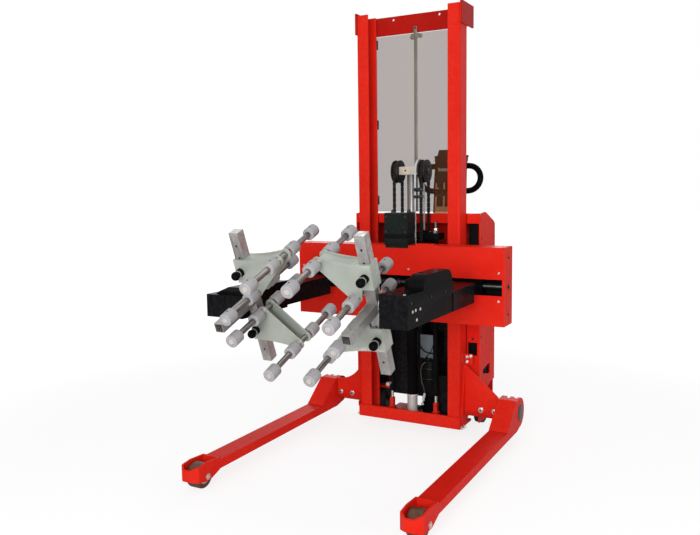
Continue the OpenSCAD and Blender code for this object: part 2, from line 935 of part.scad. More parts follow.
module plunger() {
  mouth = -web_y - web_t - bush_len;
  translate([0, post_y, 0]) {
    rod_y(pin_r, mouth - 14, -post_w / 2 - close, post_x, slide_z);
    rod_y(11, mouth - 6, mouth - close, post_x, slide_z);
    translate([post_x, mouth - 18, slide_z])
      sphere(r = 16);
  }
}

// side: 1 right, -1 left; level: 1 upper, -1 lower
module on_slider(side, level) {
  on_head()
    scale_sign(side, level)
      children();
}

module scale_sign(side, level) {
  if (side == 1 && level == 1)
    children();
  else if (side == 1)
    mirror([0, 0, 1])
      children();
  else if (level == 1)
    mirror([1, 0, 0])
      children();
  else
    mirror([1, 0, 0])
      mirror([0, 0, 1])
        children();
}

module slider_node(side, level) {
  color(PLATE)
    on_slider(side, level)
      slider_body();
}

module pads_node(side, level) {
  color(PAD)
    on_slider(side, level)
      slider_pads();
}

module plunger_node(side, level) {
  color(BLACK)
    on_slider(side, level)
      plunger();
}

// The legs

module fork_outline(inset) {
  x0 = fork_x0 + inset;
  x1 = fork_x1 - inset;
  y0 = -leg_reach + inset;
  y1 = y0 + fork_len - 2 * inset;
  cut = 26 - inset * 0.6;
  polygon([[x0, y1], [x0, y0 + cut], [x0 + cut, y0], [x1 - cut, y0], [x1, y0 + cut], [x1, y1]]);
}

// Side profile of the fork at the tip of a leg
module fork_side() {
  y0 = -leg_reach;
  polygon([
    [y0, leg_z - 8], [y0, leg_top - 2], [y0 + 30, leg_top + 9], [y0 + 75, leg_top + 15],
    [y0 + fork_len, leg_top + 10], [y0 + fork_len, leg_z - 2], [y0 + 98, leg_z - 23],
    [y0 + 60, leg_z - 22], [y0 + 25, leg_z - 16]
  ]);
}

// Side profile of the block that joins a leg to its cross tube
module block_profile() {
  translate([cross_y, cross_z])
    circle(r = block_r);
  polygon([
    [-90, leg_z], [60, leg_z], [cross_y, cross_z - block_r], [cross_y, cross_z + block_r],
    [46, cross_z + block_r], [-90, leg_top + 4]
  ]);
}

module leg() {
  difference() {
    union() {
      box([leg_x, -leg_reach + fork_len - 12, leg_z], [leg_out, -50, leg_top]);
      slab_x(leg_x, leg_out)
        block_profile();
      intersection() {
        translate([0, 0, fork_z0])
          linear_extrude(fork_top - fork_z0)
            fork_outline(0);
        slab_x(fork_x0 - 1, fork_x1 + 1)
          fork_side();
      }
      rod_x(inner_r, mast_x + 16, leg_out, cross_y, cross_z);
      rod_x(cross_r + 4, leg_out - 1, leg_out + 2, cross_y, cross_z);
    }
    translate([0, 0, fork_z0 - 1])
      linear_extrude(fork_top - fork_z0 + 2)
        fork_outline(fork_t);
    box([leg_x + 4, -leg_reach + fork_len + 6, leg_z + 4], [leg_out - 4, -70, leg_top - 4]);
    rod_x(inner_r - 6, mast_x + 15, leg_out - 6, cross_y, cross_z);
  }
  rod_x(axle_r, fork_x0 - 3, fork_x1 + 3, load_y, load_r);
}

module right_leg() {
  color(RED)
    leg();
}

module left_leg() {
  color(RED)
    mirror([1, 0, 0])
      leg();
}

module load_wheel() {
  mid = (fork_x0 + fork_x1) / 2;
  difference() {
    union() {
      rod_x(load_r, mid - load_w / 2, mid + load_w / 2, load_y, load_r);
      rod_x(18, mid - load_w / 2 - 5, mid + load_w / 2 + 5, load_y, load_r);
    }
    rod_x(axle_r + fit, mid - load_w, mid + load_w, load_y, load_r);
  }
}

module right_load_wheel() {
  color([0.30, 0.17, 0.08])
    load_wheel();
}

module left_load_wheel() {
  color([0.30, 0.17, 0.08])
    mirror([1, 0, 0])
      load_wheel();
}

// The chassis

module side_plate() {
  slab_x(chassis_x - chassis_t, chassis_x)
    difference() {
      polygon([
        [channel_d, side_low], [channel_d, chassis_h - 7], [165, chassis_h], [182, chassis_h - 2],
        [305, chassis_h - 49], [chassis_rear, chassis_h - 62], [chassis_rear, 226],
        [262, 222], [216, 206], [186, 172], [176, 130], [176, side_low]
      ]);
      polygon([[143, 287], [143, 304], [160, 309], [251, 320], [252, 265], [170, 281]]);
      translate([cross_y, cross_z])
        circle(r = cross_r + 3);
    }
}

// Open window beside an upright, from its sill to the lip above it
module window_outline(x1, top) {
  r = window_round;
  polygon([
    [mast_x - 1, top], [x1, top], [x1, window_low],
    for (a = [270:-15:180]) [mast_x + r + 2 + r * cos(a), window_low + r + r * sin(a)],
    [mast_x - 1, window_low + r]
  ]);
}

module chassis_shell() {
  x1 = chassis_x - chassis_t;
  lip_top = chassis_h - 7;
  color(RED)
    difference() {
      union() {
        both_sides() {
          side_plate();
          // Strip beside the upright, with its square access hole
          slab_y(channel_d, channel_d + chassis_t)
            difference() {
              translate([mast_x + 1, 190])
                square([x1 - mast_x, lip_top - 190]);
              translate([mast_x + 6, 382])
                square([46, 60]);
              window_outline(x1, lip_top - lip_h);
            }
          // Plate that a castor swivels in
          box([castor_x - 82, castor_y - 62, castor_top + 2], [x1, chassis_rear, castor_top + 14]);
        }
        box([-x1, lip_y, lip_top - lip_h], [x1, lip_y + chassis_t, lip_top]);
        box([-x1, chassis_rear - chassis_t, castor_top + 14], [x1, chassis_rear, chassis_h - 62]);
        box([-x1, lip_y, deck_z], [x1, chassis_rear, deck_z + chassis_t]);
      }
      both_sides()
        rod_z(14 + fit, castor_top, castor_top + 15, castor_x, castor_y);
      box([-hood_x + 30, chassis_rear - chassis_t - 1, 150], [hood_x - 30, chassis_rear + 1, 560]);
    }
}

module battery_cover() {
  x1 = chassis_x - chassis_t - close;
  y0 = lip_y + chassis_t + close;
  y1 = chassis_rear - chassis_t - close;
  color(RED)
    slab_x(-x1, x1)
      polygon([
        [y0, chassis_h - 12], [165, chassis_h - 7], [181, chassis_h - 9], [y1, chassis_h - 64],
        [y1, chassis_h - 70], [180, chassis_h - 15], [165, chassis_h - 13], [y0, chassis_h - 18]
      ]);
}

module battery() {
  z0 = deck_z + chassis_t;
  color(BLACK)
    for (x = [-battery_x, battery_x - battery_len]) {
      box([x, 130, z0], [x + battery_len, 290, z0 + battery_h]);
      for (t = [40, battery_len - 40])
        rod_z(9, z0 + battery_h, z0 + battery_h + 18, x + t, 160);
    }
}

// Pump and motor, oil tank, and the plate of the electric controls
module hydraulic_unit() {
  z0 = mast_foot + foot_t;
  color(BLACK) {
    rod_z(pump_r - 4, z0, z0 + pump_foot_h, pump_x, pump_y);
    rod_z(pump_r, z0 + pump_foot_h, z0 + pump_foot_h + pump_h, pump_x, pump_y);
    box([pump_x + 36, pump_y - 28, z0], [pump_x + 100, pump_y + 52, z0 + 200]);
    box([0, 166, relay_z], [78, 285, relay_z + 116]);
    rod_y(9, cyl_y + cyl_foot_r - 6, pump_y, pump_x - 20, z0 + 40);
    box([-170, 165, 132], [2, 300, 560]);
    box([-130, 200, 559], [-60, 270, 640]);
    box([1, 270, 240], [110, 300, 560]);
  }
}

// Hood over the drive
module drive_hood() {
  wall = 4;
  y0 = chassis_rear;
  z0 = 150;
  color(RED)
    difference() {
      slab_x(-hood_x, hood_x)
        polygon([
          [y0, z0], [hood_rear, z0], [hood_rear, 430],
          for (a = [0:7.5:60]) [hood_rear - 90 + 90 * cos(a), 430 + 90 * sin(a)],
          [steer_y + 60, hood_top], [y0, hood_top]
        ]);
      slab_x(-hood_x + wall, hood_x - wall)
        polygon([
          [y0 - 1, z0 - 1], [hood_rear - wall, z0 - 1], [hood_rear - wall, 430],
          for (a = [0:7.5:60]) [hood_rear - 90 + (90 - wall) * cos(a), 430 + (90 - wall) * sin(a)],
          [steer_y + 56, hood_top - wall], [y0 - 1, hood_top - wall]
        ]);
      rod_z(column_r + fit, hood_top - 60, hood_top + 1, 0, steer_y);
      rod_z(17, hood_top - 10, hood_top + 1, 150, y0 + 60);
    }
}

module frame_bolts() {
  color(ZINC)
    both_sides() {
      for (x = [mast_x + 82, mast_x + 147])
        bolt_y(x, cross_y - cross_r, cross_z, 11, 7);
      for (b = [[9.5, 11], [9.5, 34], [28.5, 39]])
        bolt_y(mast_x + b[0], 70, gusset_top + b[1], 7, 6);
    }
}

// The drive, castors and tiller

module drive_unit() {
  color(BLACK) {
    difference() {
      union() {
        box([-drive_w / 2 - 22, steer_y - 45, drive_r - 22], [drive_w / 2 + 22, steer_y + 45, 290]);
        rod_z(70, 290, 310, 0, steer_y);
        rod_z(48, 310, 520, 0, steer_y);
        rod_z(column_r, 520, tiller_z - 60, 0, steer_y);
      }
      box([-drive_w / 2 - 8, steer_y - 150, 0], [drive_w / 2 + 8, steer_y + 150, 2 * drive_r + 10]);
    }
    for (s = [-1, 1])
      box([s > 0 ? 42 : -56, tiller_y - 24, tiller_z - 60],
          [s > 0 ? 56 : -42, tiller_y + 24, tiller_z + 24]);
    box([-56, steer_y - 40, tiller_z - 72], [56, tiller_y + 24, tiller_z - 60]);
    rod_x(12, -42, 42, tiller_y, tiller_z);
    rod_x(14, -drive_w / 2 - 8, drive_w / 2 + 8, steer_y, drive_r);
  }
}

module drive_wheel() {
  color(BLACK)
    difference() {
      rod_x(drive_r, -drive_w / 2, drive_w / 2, steer_y, drive_r);
      rod_x(14 + fit, -drive_w, drive_w, steer_y, drive_r);
    }
}

module castor_fork() {
  axle_y = castor_y + castor_trail;
  half = castor_w / 2 + 3;
  box([castor_x - half - 5, castor_y - 36, castor_top - 8],
      [castor_x + half + 5, castor_y + 36, castor_top]);
  for (x = [castor_x - half - 5, castor_x + half])
    slab_x(x, x + 5)
      polygon([
        [castor_y - 36, castor_top - 4], [castor_y + 36, castor_top - 4],
        [axle_y + 16, castor_r - 8], [axle_y - 16, castor_r - 12]
      ]);
  rod_z(14, castor_top, castor_top + 22, castor_x, castor_y);
  rod_z(30, castor_top + 15, castor_top + 70, castor_x, castor_y);
  rod_x(7, castor_x - half - 8, castor_x + half + 8, axle_y, castor_r);
}

module right_castor_fork() {
  color(BLACK)
    castor_fork();
}

module left_castor_fork() {
  color(BLACK)
    mirror([1, 0, 0])
      castor_fork();
}

module castor_wheel() {
  difference() {
    rod_x(castor_r, castor_x - castor_w / 2, castor_x + castor_w / 2, castor_y + castor_trail, castor_r);
    rod_x(7 + fit, castor_x - castor_w, castor_x + castor_w, castor_y + castor_trail, castor_r);
  }
}

module right_castor_wheel() {
  color(BLACK)
    castor_wheel();
}

module left_castor_wheel() {
  color(BLACK)
    mirror([1, 0, 0])
      castor_wheel();
}

// Places children in the tiller's frame: origin on its pivot, Z along the arm
module on_tiller() {
  translate([0, tiller_y, tiller_z])
    rotate([-tiller_lean, 0, 0])
      children();
}

module tiller_arm() {
  color(BLACK)
    on_tiller()
      difference() {
        union() {
          rod_x(22, -41, 41, 0, 0);
          box([-36, -18, 0], [36, 18, tiller_len - 200]);
          box([-82, -22, tiller_len - 250], [82, 22, tiller_len - 82]);
        }
        rod_x(12 + fit, -60, 60, 0, 0);
        box([-32, -14, 40], [32, 14, tiller_len - 86]);
      }
}

module head_profile() {
  z = tiller_len;
  polygon([
    [-84, z - 82], [84, z - 82], [80, z + 75], [62, z + 150], [-62, z + 150], [-80, z + 75]
  ]);
}

module grip_side() {
  bend = 66;
  z = tiller_len;
  x0 = grip_x - grip_r - bend;
  for (s = [-1, 1])
    rod_x(grip_r - 0.3, 70, x0 + 1, 0, z + s * bend);
  translate([x0, 0, z])
    rotate([90, 0, 0])
      rotate([0, 0, -90])
        rotate_extrude(angle = 180)
          translate([bend, 0])
            circle(r = grip_r);
}

module tiller_head() {
  color(BLACK)
    on_tiller()
      difference() {
        union() {
          slab_y(-26, 26)
            head_profile();
          both_sides()
            grip_side();
        }
        rod_x(7 + fit, -100, 100, 0, tiller_len + 90);
        box([-15, 10, tiller_len - 21], [15, 40, tiller_len + 21]);
        rod_y(20.1, 8, 40, 0, tiller_len + 120);
      }
}

module thumb_lever() {
  z = tiller_len + 90;
  color(BLACK)
    on_tiller() {
      rod_x(7, -89, 89, 0, z);
      both_sides()
        box([79, -8, z], [91, 8, z + 32]);
    }
}

module lift_rocker() {
  z = tiller_len;
  color(RED)
    on_tiller()
      union() {
        difference() {
          box([-14, 13, z - 19], [14, 29, z + 19]);
          box([-15, 26, z - 2], [15, 30, z + 2]);
        }
        rod_x(5.5, -14, 14, 16, z);
      }
}

module belly_button() {
  color(RED)
    on_tiller()
      rod_y(20, 16, 34, 0, tiller_len + 120);
}

module stop_button() {
  z = hood_top - 4;
  color(RED) {
    rod_z(16.9, z - 12, z + 10, 150, chassis_rear + 60);
    rod_z(24, z + 10, z + 26, 150, chassis_rear + 60);
  }
}

// The machine, centred on its footprint

translate([0, -mid_y, 0]) {
  left_upright();
  right_upright();
  top_bridge();
  base_frame();
  lift_cylinder();
  chain_anchor_bar();
  guard_panel();
  chassis_shell();
  battery_cover();
  battery();
  hydraulic_unit();
  drive_hood();
  frame_bolts();
  crosshead();
  piston_rod();
  left_sheave();
  right_sheave();
  chain_rear_runs();
  chain_front_runs();
  chain_sheave_arcs();
  carriage_beam();
  mast_rollers();
  valve_box();
  guide_rods();
  clamp_screw();
  right_arm();
  right_arm_cover();
  rotation_motor();
  left_arm();
  left_arm_cover();
  right_head();
  left_head();
  slider_node(1, 1);  // right_upper_slider
  slider_node(1, -1);  // right_lower_slider
  slider_node(-1, 1);  // left_upper_slider
  slider_node(-1, -1);  // left_lower_slider
  pads_node(1, 1);  // right_upper_pads
  pads_node(1, -1);  // right_lower_pads
  pads_node(-1, 1);  // left_upper_pads
  pads_node(-1, -1);  // left_lower_pads
  plunger_node(1, 1);  // right_upper_plunger
  plunger_node(1, -1);  // right_lower_plunger
  plunger_node(-1, 1);  // left_upper_plunger
  plunger_node(-1, -1);  // left_lower_plunger
  left_leg();
  right_leg();
  left_load_wheel();
  right_load_wheel();
  drive_unit();
  drive_wheel();
  left_castor_fork();
  right_castor_fork();
  left_castor_wheel();
  right_castor_wheel();
  tiller_arm();
  tiller_head();
  thumb_lever();
  lift_rocker();
  belly_button();
  stop_button();
}
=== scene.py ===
"""Looks of the drum tipper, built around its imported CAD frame.

Sizes are in millimetres in the mast's own frame: X across, Y back from the front face
of the mast, Z up from the floor. MAST, HEAD and TILLER turn them into metres.
"""
import json
import math

import bmesh
import bpy
from mathutils import Matrix, Vector

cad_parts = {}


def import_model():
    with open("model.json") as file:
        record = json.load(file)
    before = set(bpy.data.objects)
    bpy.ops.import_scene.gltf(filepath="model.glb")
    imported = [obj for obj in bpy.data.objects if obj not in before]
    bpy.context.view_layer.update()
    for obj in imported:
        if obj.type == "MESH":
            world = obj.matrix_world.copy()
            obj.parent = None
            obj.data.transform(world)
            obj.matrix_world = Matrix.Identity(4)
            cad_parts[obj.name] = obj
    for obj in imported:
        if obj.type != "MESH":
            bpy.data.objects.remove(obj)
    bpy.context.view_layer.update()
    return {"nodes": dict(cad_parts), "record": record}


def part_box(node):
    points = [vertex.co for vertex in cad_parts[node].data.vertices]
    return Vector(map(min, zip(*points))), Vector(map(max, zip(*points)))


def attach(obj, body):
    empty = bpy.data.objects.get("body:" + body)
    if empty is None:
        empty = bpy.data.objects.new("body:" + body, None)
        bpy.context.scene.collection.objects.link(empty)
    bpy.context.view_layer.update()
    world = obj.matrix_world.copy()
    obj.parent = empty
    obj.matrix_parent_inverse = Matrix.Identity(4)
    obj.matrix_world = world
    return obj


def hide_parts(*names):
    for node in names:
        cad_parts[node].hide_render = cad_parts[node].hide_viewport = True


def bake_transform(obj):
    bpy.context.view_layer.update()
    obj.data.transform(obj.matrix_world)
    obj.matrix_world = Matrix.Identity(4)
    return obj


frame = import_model()

SIDES = (("right", 1), ("left", -1))
LEVELS = (("upper", 1), ("lower", -1))

# Places, read from the boxes of the CAD's nodes

MAST_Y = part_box("right_upright")[0][1]


def V(x, y, z):
    """Point in metres, from millimetres in the mast's frame."""
    return Vector((x / 1000, y / 1000 + MAST_Y, z / 1000))


def corners(node):
    """Lowest and highest corner of a node, in millimetres to a tenth."""
    start = (0, MAST_Y, 0)
    return [tuple(round(1000 * (v - s), 1) for v, s in zip(p, start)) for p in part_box(node)]


def centre(node):
    """Middle of a node's box, in millimetres to a tenth."""
    return tuple(round((a + b) / 2, 1) for a, b in zip(*corners(node)))


def span(s, a, b):
    """Stretch from a to b on side s of the middle plane, its low end first."""
    return sorted((s * a, s * b))


UPRIGHT_IN = corners("right_upright")[0][0]
MAST_X = corners("right_upright")[1][0]
BRIDGE_LOW = corners("top_bridge")[0][2]
PANEL_LOW = corners("guard_panel")[0][2]
PANEL_X, PANEL_BACK, _ = corners("guard_panel")[1]
CYLINDER_Y = centre("lift_cylinder")[1]
CYLINDER_TOP = corners("lift_cylinder")[1][2]
SHEAVE_X, _, SHEAVE_Z = centre("right_sheave")
BEAM_X = corners("carriage_beam")[1][0]
BEAM_FRONT = corners("carriage_beam")[0][1]
VALVE_FRONT = corners("valve_box")[0][1]
VALVE_TOP = corners("valve_box")[1][2]
RIGHT_ARM_SIDE = corners("right_arm")[1][0]
RIGHT_ARM_FRONT = corners("right_arm")[0][1]
LEFT_ARM_SIDE = corners("left_arm")[0][0]
LOAD_WHEEL = centre("right_load_wheel")
CASTOR_WHEEL = centre("right_castor_wheel")
CHASSIS_X = corners("chassis_shell")[1][0]
CHASSIS_FRONT = corners("chassis_shell")[0][1]
BATTERY_X = corners("battery")[0][0]
DRIVE_WHEEL = centre("drive_wheel")
DRIVE_Y, DRIVE_Z = DRIVE_WHEEL[1:]
HOOD_X, HOOD_BACK, HOOD_TOP = corners("drive_hood")[1]
STOP_X, STOP_Y, _ = centre("stop_button")

# Frames of the mast, of the gripper heads and of the tiller

AXIS_Y, AXIS_Z, TILT = -854.0, 765.0, 21.3
TILLER_Y, TILLER_Z, LEAN = 500.0, 700.0, 7.0
MAST = Matrix.Translation((0, MAST_Y, 0)) @ Matrix.Scale(0.001, 4)


def turned(y, z, degrees):
    """Frame whose origin lies at y, z on the middle plane, turned about X."""
    return MAST @ Matrix.Translation((0, y, z)) @ Matrix.Rotation(math.radians(degrees), 4, "X")


def flip(side=1, level=1):
    """Mirror across the middle plane, top to bottom, or both."""
    return Matrix.Diagonal((side, 1, level, 1))


HEAD = turned(AXIS_Y, AXIS_Z, TILT)
TILLER = turned(TILLER_Y, TILLER_Z, -LEAN)

# Camera: the photograph's viewpoint, found from the mast, legs and beam

EYE = (1419.03, -3190.78, 1172.63)
YAW, PITCH, ROLL = math.radians(28.59), math.radians(-5.60), -0.0134
FOCAL_PIXELS, PHOTO_PIXELS = 742.55, 700
SHIFT_X, SHIFT_Y = 0.0027, -0.0099
SENSOR = 36


def camera():
    ahead = Vector((-math.sin(YAW), math.cos(YAW), 0))
    forward = ahead * math.cos(PITCH) + Vector((0, 0, math.sin(PITCH)))
    level = Vector((math.cos(YAW), math.sin(YAW), 0))
    above = level.cross(forward)
    right = level * math.cos(ROLL) + above * math.sin(ROLL)
    up = above * math.cos(ROLL) - level * math.sin(ROLL)
    matrix = Matrix((right, up, -forward)).transposed().to_4x4()
    matrix.translation = V(*EYE)
    data = bpy.data.cameras.new("view")
    data.sensor_width = SENSOR
    data.sensor_fit = "HORIZONTAL"
    data.lens = SENSOR * FOCAL_PIXELS / PHOTO_PIXELS
    data.shift_x = SHIFT_X
    data.shift_y = SHIFT_Y
    data.clip_end = 60
    cam = bpy.data.objects.new("view", data)
    bpy.context.scene.collection.objects.link(cam)
    cam.matrix_world = matrix
    bpy.context.scene.camera = cam


camera()

# Shader nodes

WHITE = (1, 1, 1, 1)


def cleared(block):
    """Emptied node tree of a material or a world."""
    block.use_nodes = True
    block.node_tree.nodes.clear()
    return block.node_tree


def add_node(nt, kind, values=None, links=None, **settings):
    """New node with its settings, its fixed values and the outputs that feed it."""
    node = nt.nodes.new("ShaderNode" + kind)
    for key, v in settings.items():
        setattr(node, key, v)
    for key, v in (values or {}).items():
        node.inputs[key].default_value = v
    for key, output in (links or {}).items():
        nt.links.new(output, node.inputs[key])
    return node


def combined(nt, operation, a, b):
    return add_node(nt, "Math", links={0: a, 1: b}, operation=operation).outputs[0]


def noise(nt, where, scale, detail, rough=0.55):
    values = {"Scale": scale, "Detail": detail, "Roughness": rough}
    return add_node(nt, "TexNoise", values, {"Vector": where}).outputs["Fac"]


def stretched(nt, where, scale):
    return add_node(nt, "Mapping", {"Scale": scale}, {"Vector": where}).outputs[0]


def ramp(nt, value, a, b, lo, hi, **settings):
    """Value mapped from a and b to lo and hi."""
    values = {"From Min": a, "From Max": b, "To Min": lo, "To Max": hi}
    return add_node(nt, "MapRange", values, {"Value": value}, **settings).outputs["Result"]


def mixed(nt, share, a, b):
    """Colour between a and b, each a colour or another node's output."""
    mix = add_node(nt, "Mix", links={"Factor": share}, data_type="RGBA")
    for key, v in (("A", a), ("B", b)):
        if isinstance(v, tuple):
            mix.inputs[key].default_value = (*v, 1)
        else:
            nt.links.new(v, mix.inputs[key])
    return mix.outputs["Result"]


def bump(nt, height, strength, distance, under=None):
    """Bump of a height, on top of the bump under it."""
    links = {"Height": height}
    if under:
        links["Normal"] = under
    return add_node(nt, "Bump", {"Strength": strength, "Distance": distance}, links).outputs[0]


def scaled(color, k):
    return tuple(min(1, max(0, v * k)) for v in color)


def edge_wear_and_highlight(nt, where, amount):
    """Bright in patches where the surface is sharply convex, from its pointiness: partly edge wear, partly a
    painted highlight on the edges.
    """
    convex = ramp(nt, add_node(nt, "NewGeometry").outputs["Pointiness"], 0.53, 0.62, 0, 1)
    patches = ramp(nt, noise(nt, where, 60, 5, 0.7), 0.4, 0.6, 0.25 * amount, amount)
    return combined(nt, "MULTIPLY", convex, patches)


# Materials: each has a key, the record's slot that it belongs to, and its look

ROUGH_SPREAD = 0.08
GRAIN_DEPTH, PEEL_DEPTH = 0.0006, 0.0008

M = {}
USUAL = {}


def new_finish(key, slot, name):
    """Empty material under its key; the first of a slot is the one that its nodes get."""
    m = bpy.data.materials.new(name)
    nt = cleared(m)
    shader = add_node(nt, "BsdfPrincipled")
    add_node(nt, "OutputMaterial", links={0: shader.outputs[0]})
    M[key] = m
    USUAL.setdefault(slot, key)
    return nt, shader, add_node(nt, "TexCoord").outputs["Object"]


def finish(key, slot, name, color, rough, metal=0.0, coat=0.0, vary=0.07, vary_scale=6, grain=0.0,
           grain_scale=700, dust=0.0, dust_color=(0.5, 0.47, 0.43), brushed=None, spec=0.3, scuff=0.0,
           scuff_color=None, edge=0.0, edge_color=None, peel=0.0):
    """A finish with patchy tone, uneven gloss, surface grain, dust, scuffs, and brighter edges that are partly
    wear and partly a painted highlight.
    """
    nt, shader, where = new_finish(key, slot, name)
    patches = ramp(nt, noise(nt, where, vary_scale, 4), 0.32, 0.68, 0, 1)
    tone = mixed(nt, patches, scaled(color, 1 - vary), scaled(color, 1 + vary))
    if dust:
        tone = mixed(nt, ramp(nt, noise(nt, where, 19, 6, 0.7), 0.45, 0.8, 0, dust), tone, dust_color)
    if scuff:
        streaks = noise(nt, stretched(nt, where, (1, 1, 9)), 46, 7, 0.75)
        tone = mixed(nt, ramp(nt, streaks, 0.63, 0.72, 0, scuff), tone, scuff_color)
    if edge:
        # Brighter convex edges: partly wear, partly painted highlight
        tone = mixed(nt, edge_wear_and_highlight(nt, where, edge), tone, edge_color or scaled(color, 1.8))
    nt.links.new(tone, shader.inputs["Base Color"])
    low, high = max(0.03, rough - ROUGH_SPREAD), rough + ROUGH_SPREAD
    gloss = ramp(nt, noise(nt, where, vary_scale * 7, 5, 0.65), 0.3, 0.7, low, high)
    nt.links.new(gloss, shader.inputs["Roughness"])
    shader.inputs["Metallic"].default_value = metal
    shader.inputs["Specular IOR Level"].default_value = spec
    shader.inputs["Coat Weight"].default_value = coat
    shader.inputs["Coat Roughness"].default_value = 0.12
    normal = None
    if brushed:
        normal = bump(nt, noise(nt, stretched(nt, where, brushed), 90, 4, 0.6), grain, GRAIN_DEPTH)
    elif grain:
        normal = bump(nt, noise(nt, where, grain_scale, 2, 0.5), grain, GRAIN_DEPTH)
    if peel:
        normal = bump(nt, noise(nt, where, 150, 2, 0.4), peel, PEEL_DEPTH, normal)
    if normal:
        nt.links.new(normal, shader.inputs["Normal"])


def clear_sheet():
    """Smoky clear plastic."""
    nt, shader, where = new_finish("clear", "clear_panel", "clear_panel")
    tone = mixed(nt, noise(nt, where, 3, 4), (0.10, 0.038, 0.014), (0.12, 0.048, 0.018))
    nt.links.new(tone, shader.inputs["Base Color"])
    nt.links.new(ramp(nt, noise(nt, where, 40, 5), 0.3, 0.7, 0.25, 0.4), shader.inputs["Roughness"])
    shader.inputs["Specular IOR Level"].default_value = 0.10
    shader.inputs["Alpha"].default_value = 0.375


# Paint
# Red paint, whose brighter red edge colour is a painted highlight
finish("red", "red_paint", "red_paint", (0.70, 0.016, 0.008), 0.34, vary=0.05, grain=0.06,
       grain_scale=420, dust=0.015, scuff=0.06, scuff_color=(0.80, 0.10, 0.06), spec=0.035, peel=0.10,
       edge=0.35, edge_color=(0.85, 0.10, 0.05))
# Darker copy of the red paint, used on the top bridge: painted shade, for the bridge set back between the
# uprights
finish("shaded_red", "red_paint", "red_paint_painted_shade", (0.42, 0.010, 0.006), 0.36, vary=0.05, grain=0.06,
       grain_scale=420, dust=0.015, scuff=0.06, scuff_color=(0.55, 0.06, 0.04), spec=0.03, peel=0.10)
finish("black", "black_paint", "black_paint", (0.0045, 0.0048, 0.005), 0.36, vary=0.2, grain=0.15,
       grain_scale=900, dust=0.010, scuff=0.05, scuff_color=(0.05, 0.05, 0.05), spec=0.035, edge=0.5,
       edge_color=(0.05, 0.05, 0.052))
finish("gloss", "black_paint", "black_gloss", (0.0035, 0.0035, 0.0038), 0.20, vary=0.2, grain=0.05,
       grain_scale=900, dust=0.003, spec=0.02, edge=0.5, edge_color=(0.04, 0.04, 0.045))
# Near-black: painted shade in recesses, holes, sockets and behind openings, and also the own colour of a dark
# crosshead bolt and the pads' set screws
finish("dark", "black_paint", "recess_shade_and_dark_bolts", (0.003, 0.003, 0.0035), 0.7, vary=0.2, grain=0.1, spec=0.08)
finish("umber", "black_paint", "umber_steel", (0.055, 0.030, 0.012), 0.40, vary=0.15, vary_scale=9,
       grain=0.1, spec=0.1, edge=0.4)
finish("tan", "black_paint", "tan_steel", (0.80, 0.46, 0.24), 0.40, vary=0.08, vary_scale=9, grain=0.1,
       spec=0.2, edge=0.4)

# Metal
finish("grey", "grey_plate", "grey_plate", (0.40, 0.43, 0.38), 0.38, metal=0.25, vary=0.12, grain=0.12,
       grain_scale=500, dust=0.05, dust_color=(0.36, 0.31, 0.24), scuff=0.3,
       scuff_color=(0.62, 0.63, 0.58), edge=0.7, edge_color=(0.70, 0.70, 0.66))
finish("bare", "grey_plate", "bare_steel", (0.30, 0.285, 0.275), 0.34, metal=0.6, vary=0.10,
       vary_scale=9, brushed=(5, 5, 0.4), grain=0.12, dust=0.06, dust_color=(0.22, 0.20, 0.18), edge=0.8,
       edge_color=(0.80, 0.80, 0.78))
finish("bar", "grey_plate", "dark_bar", (0.22, 0.20, 0.19), 0.28, metal=0.9, vary=0.16, vary_scale=16,
       brushed=(40, 1, 40), grain=0.10)
finish("zinc", "zinc", "zinc", (0.62, 0.61, 0.58), 0.30, metal=0.9, vary=0.12, vary_scale=30, grain=0.1)
finish("strip", "zinc", "strip_brown", (0.16, 0.145, 0.115), 0.42, metal=0.3, vary=0.12, vary_scale=12,
       brushed=(40, 40, 0.5), grain=0.1, edge=0.4)
finish("beige", "zinc", "crosshead_beige", (0.56, 0.47, 0.38), 0.40, metal=0.3, vary=0.10, vary_scale=30,
       grain=0.12, dust=0.15, edge=0.5, edge_color=(0.75, 0.70, 0.62))
finish("rod", "rod_chrome", "chromed_rod", (0.72, 0.72, 0.72), 0.14, metal=1.0, vary=0.04, grain=0.03)
finish("piston", "rod_chrome", "piston_rod", (0.20, 0.18, 0.17), 0.34, metal=0.6, vary=0.08,
       brushed=(4, 4, 0.1), grain=0.05)
finish("foot", "rod_chrome", "cylinder_foot", (0.52, 0.51, 0.49), 0.36, metal=0.35, vary=0.08,
       brushed=(4, 4, 0.1), grain=0.1)
finish("shaft", "rod_chrome", "dark_shaft", (0.05, 0.048, 0.045), 0.35, metal=0.8, vary=0.2,
       vary_scale=20, grain=0.1)
finish("chain", "chain_steel", "chain_steel", (0.008, 0.0075, 0.007), 0.36, metal=0.25, vary=0.35,
       vary_scale=60, grain=0.2, spec=0.2, edge=0.4, edge_color=(0.05, 0.046, 0.042))

# Plastic and rubber
finish("pad", "pad_grey", "pad_grey", (0.35, 0.34, 0.35), 0.42, vary=0.05, vary_scale=14, grain=0.10,
       dust=0.05, dust_color=(0.32, 0.29, 0.26), edge=0.35, edge_color=(0.52, 0.52, 0.52))
finish("plug", "pad_grey", "pad_plug", (0.50, 0.46, 0.42), 0.40, vary=0.08, vary_scale=40, grain=0.15)
finish("plastic", "black_plastic", "black_plastic", (0.006, 0.0065, 0.007), 0.34, vary=0.15, grain=0.30,
       grain_scale=1300, spec=0.28, edge=0.4, edge_color=(0.04, 0.04, 0.04))
finish("box", "black_plastic", "green_black_plastic", (0.0065, 0.0090, 0.0085), 0.42, vary=0.15,
       grain=0.35, grain_scale=1100, spec=0.05, edge=0.4, edge_color=(0.05, 0.06, 0.055))
finish("hose", "black_plastic", "pale_hose", (0.50, 0.54, 0.58), 0.35, vary=0.10, vary_scale=40,
       grain=0.12)
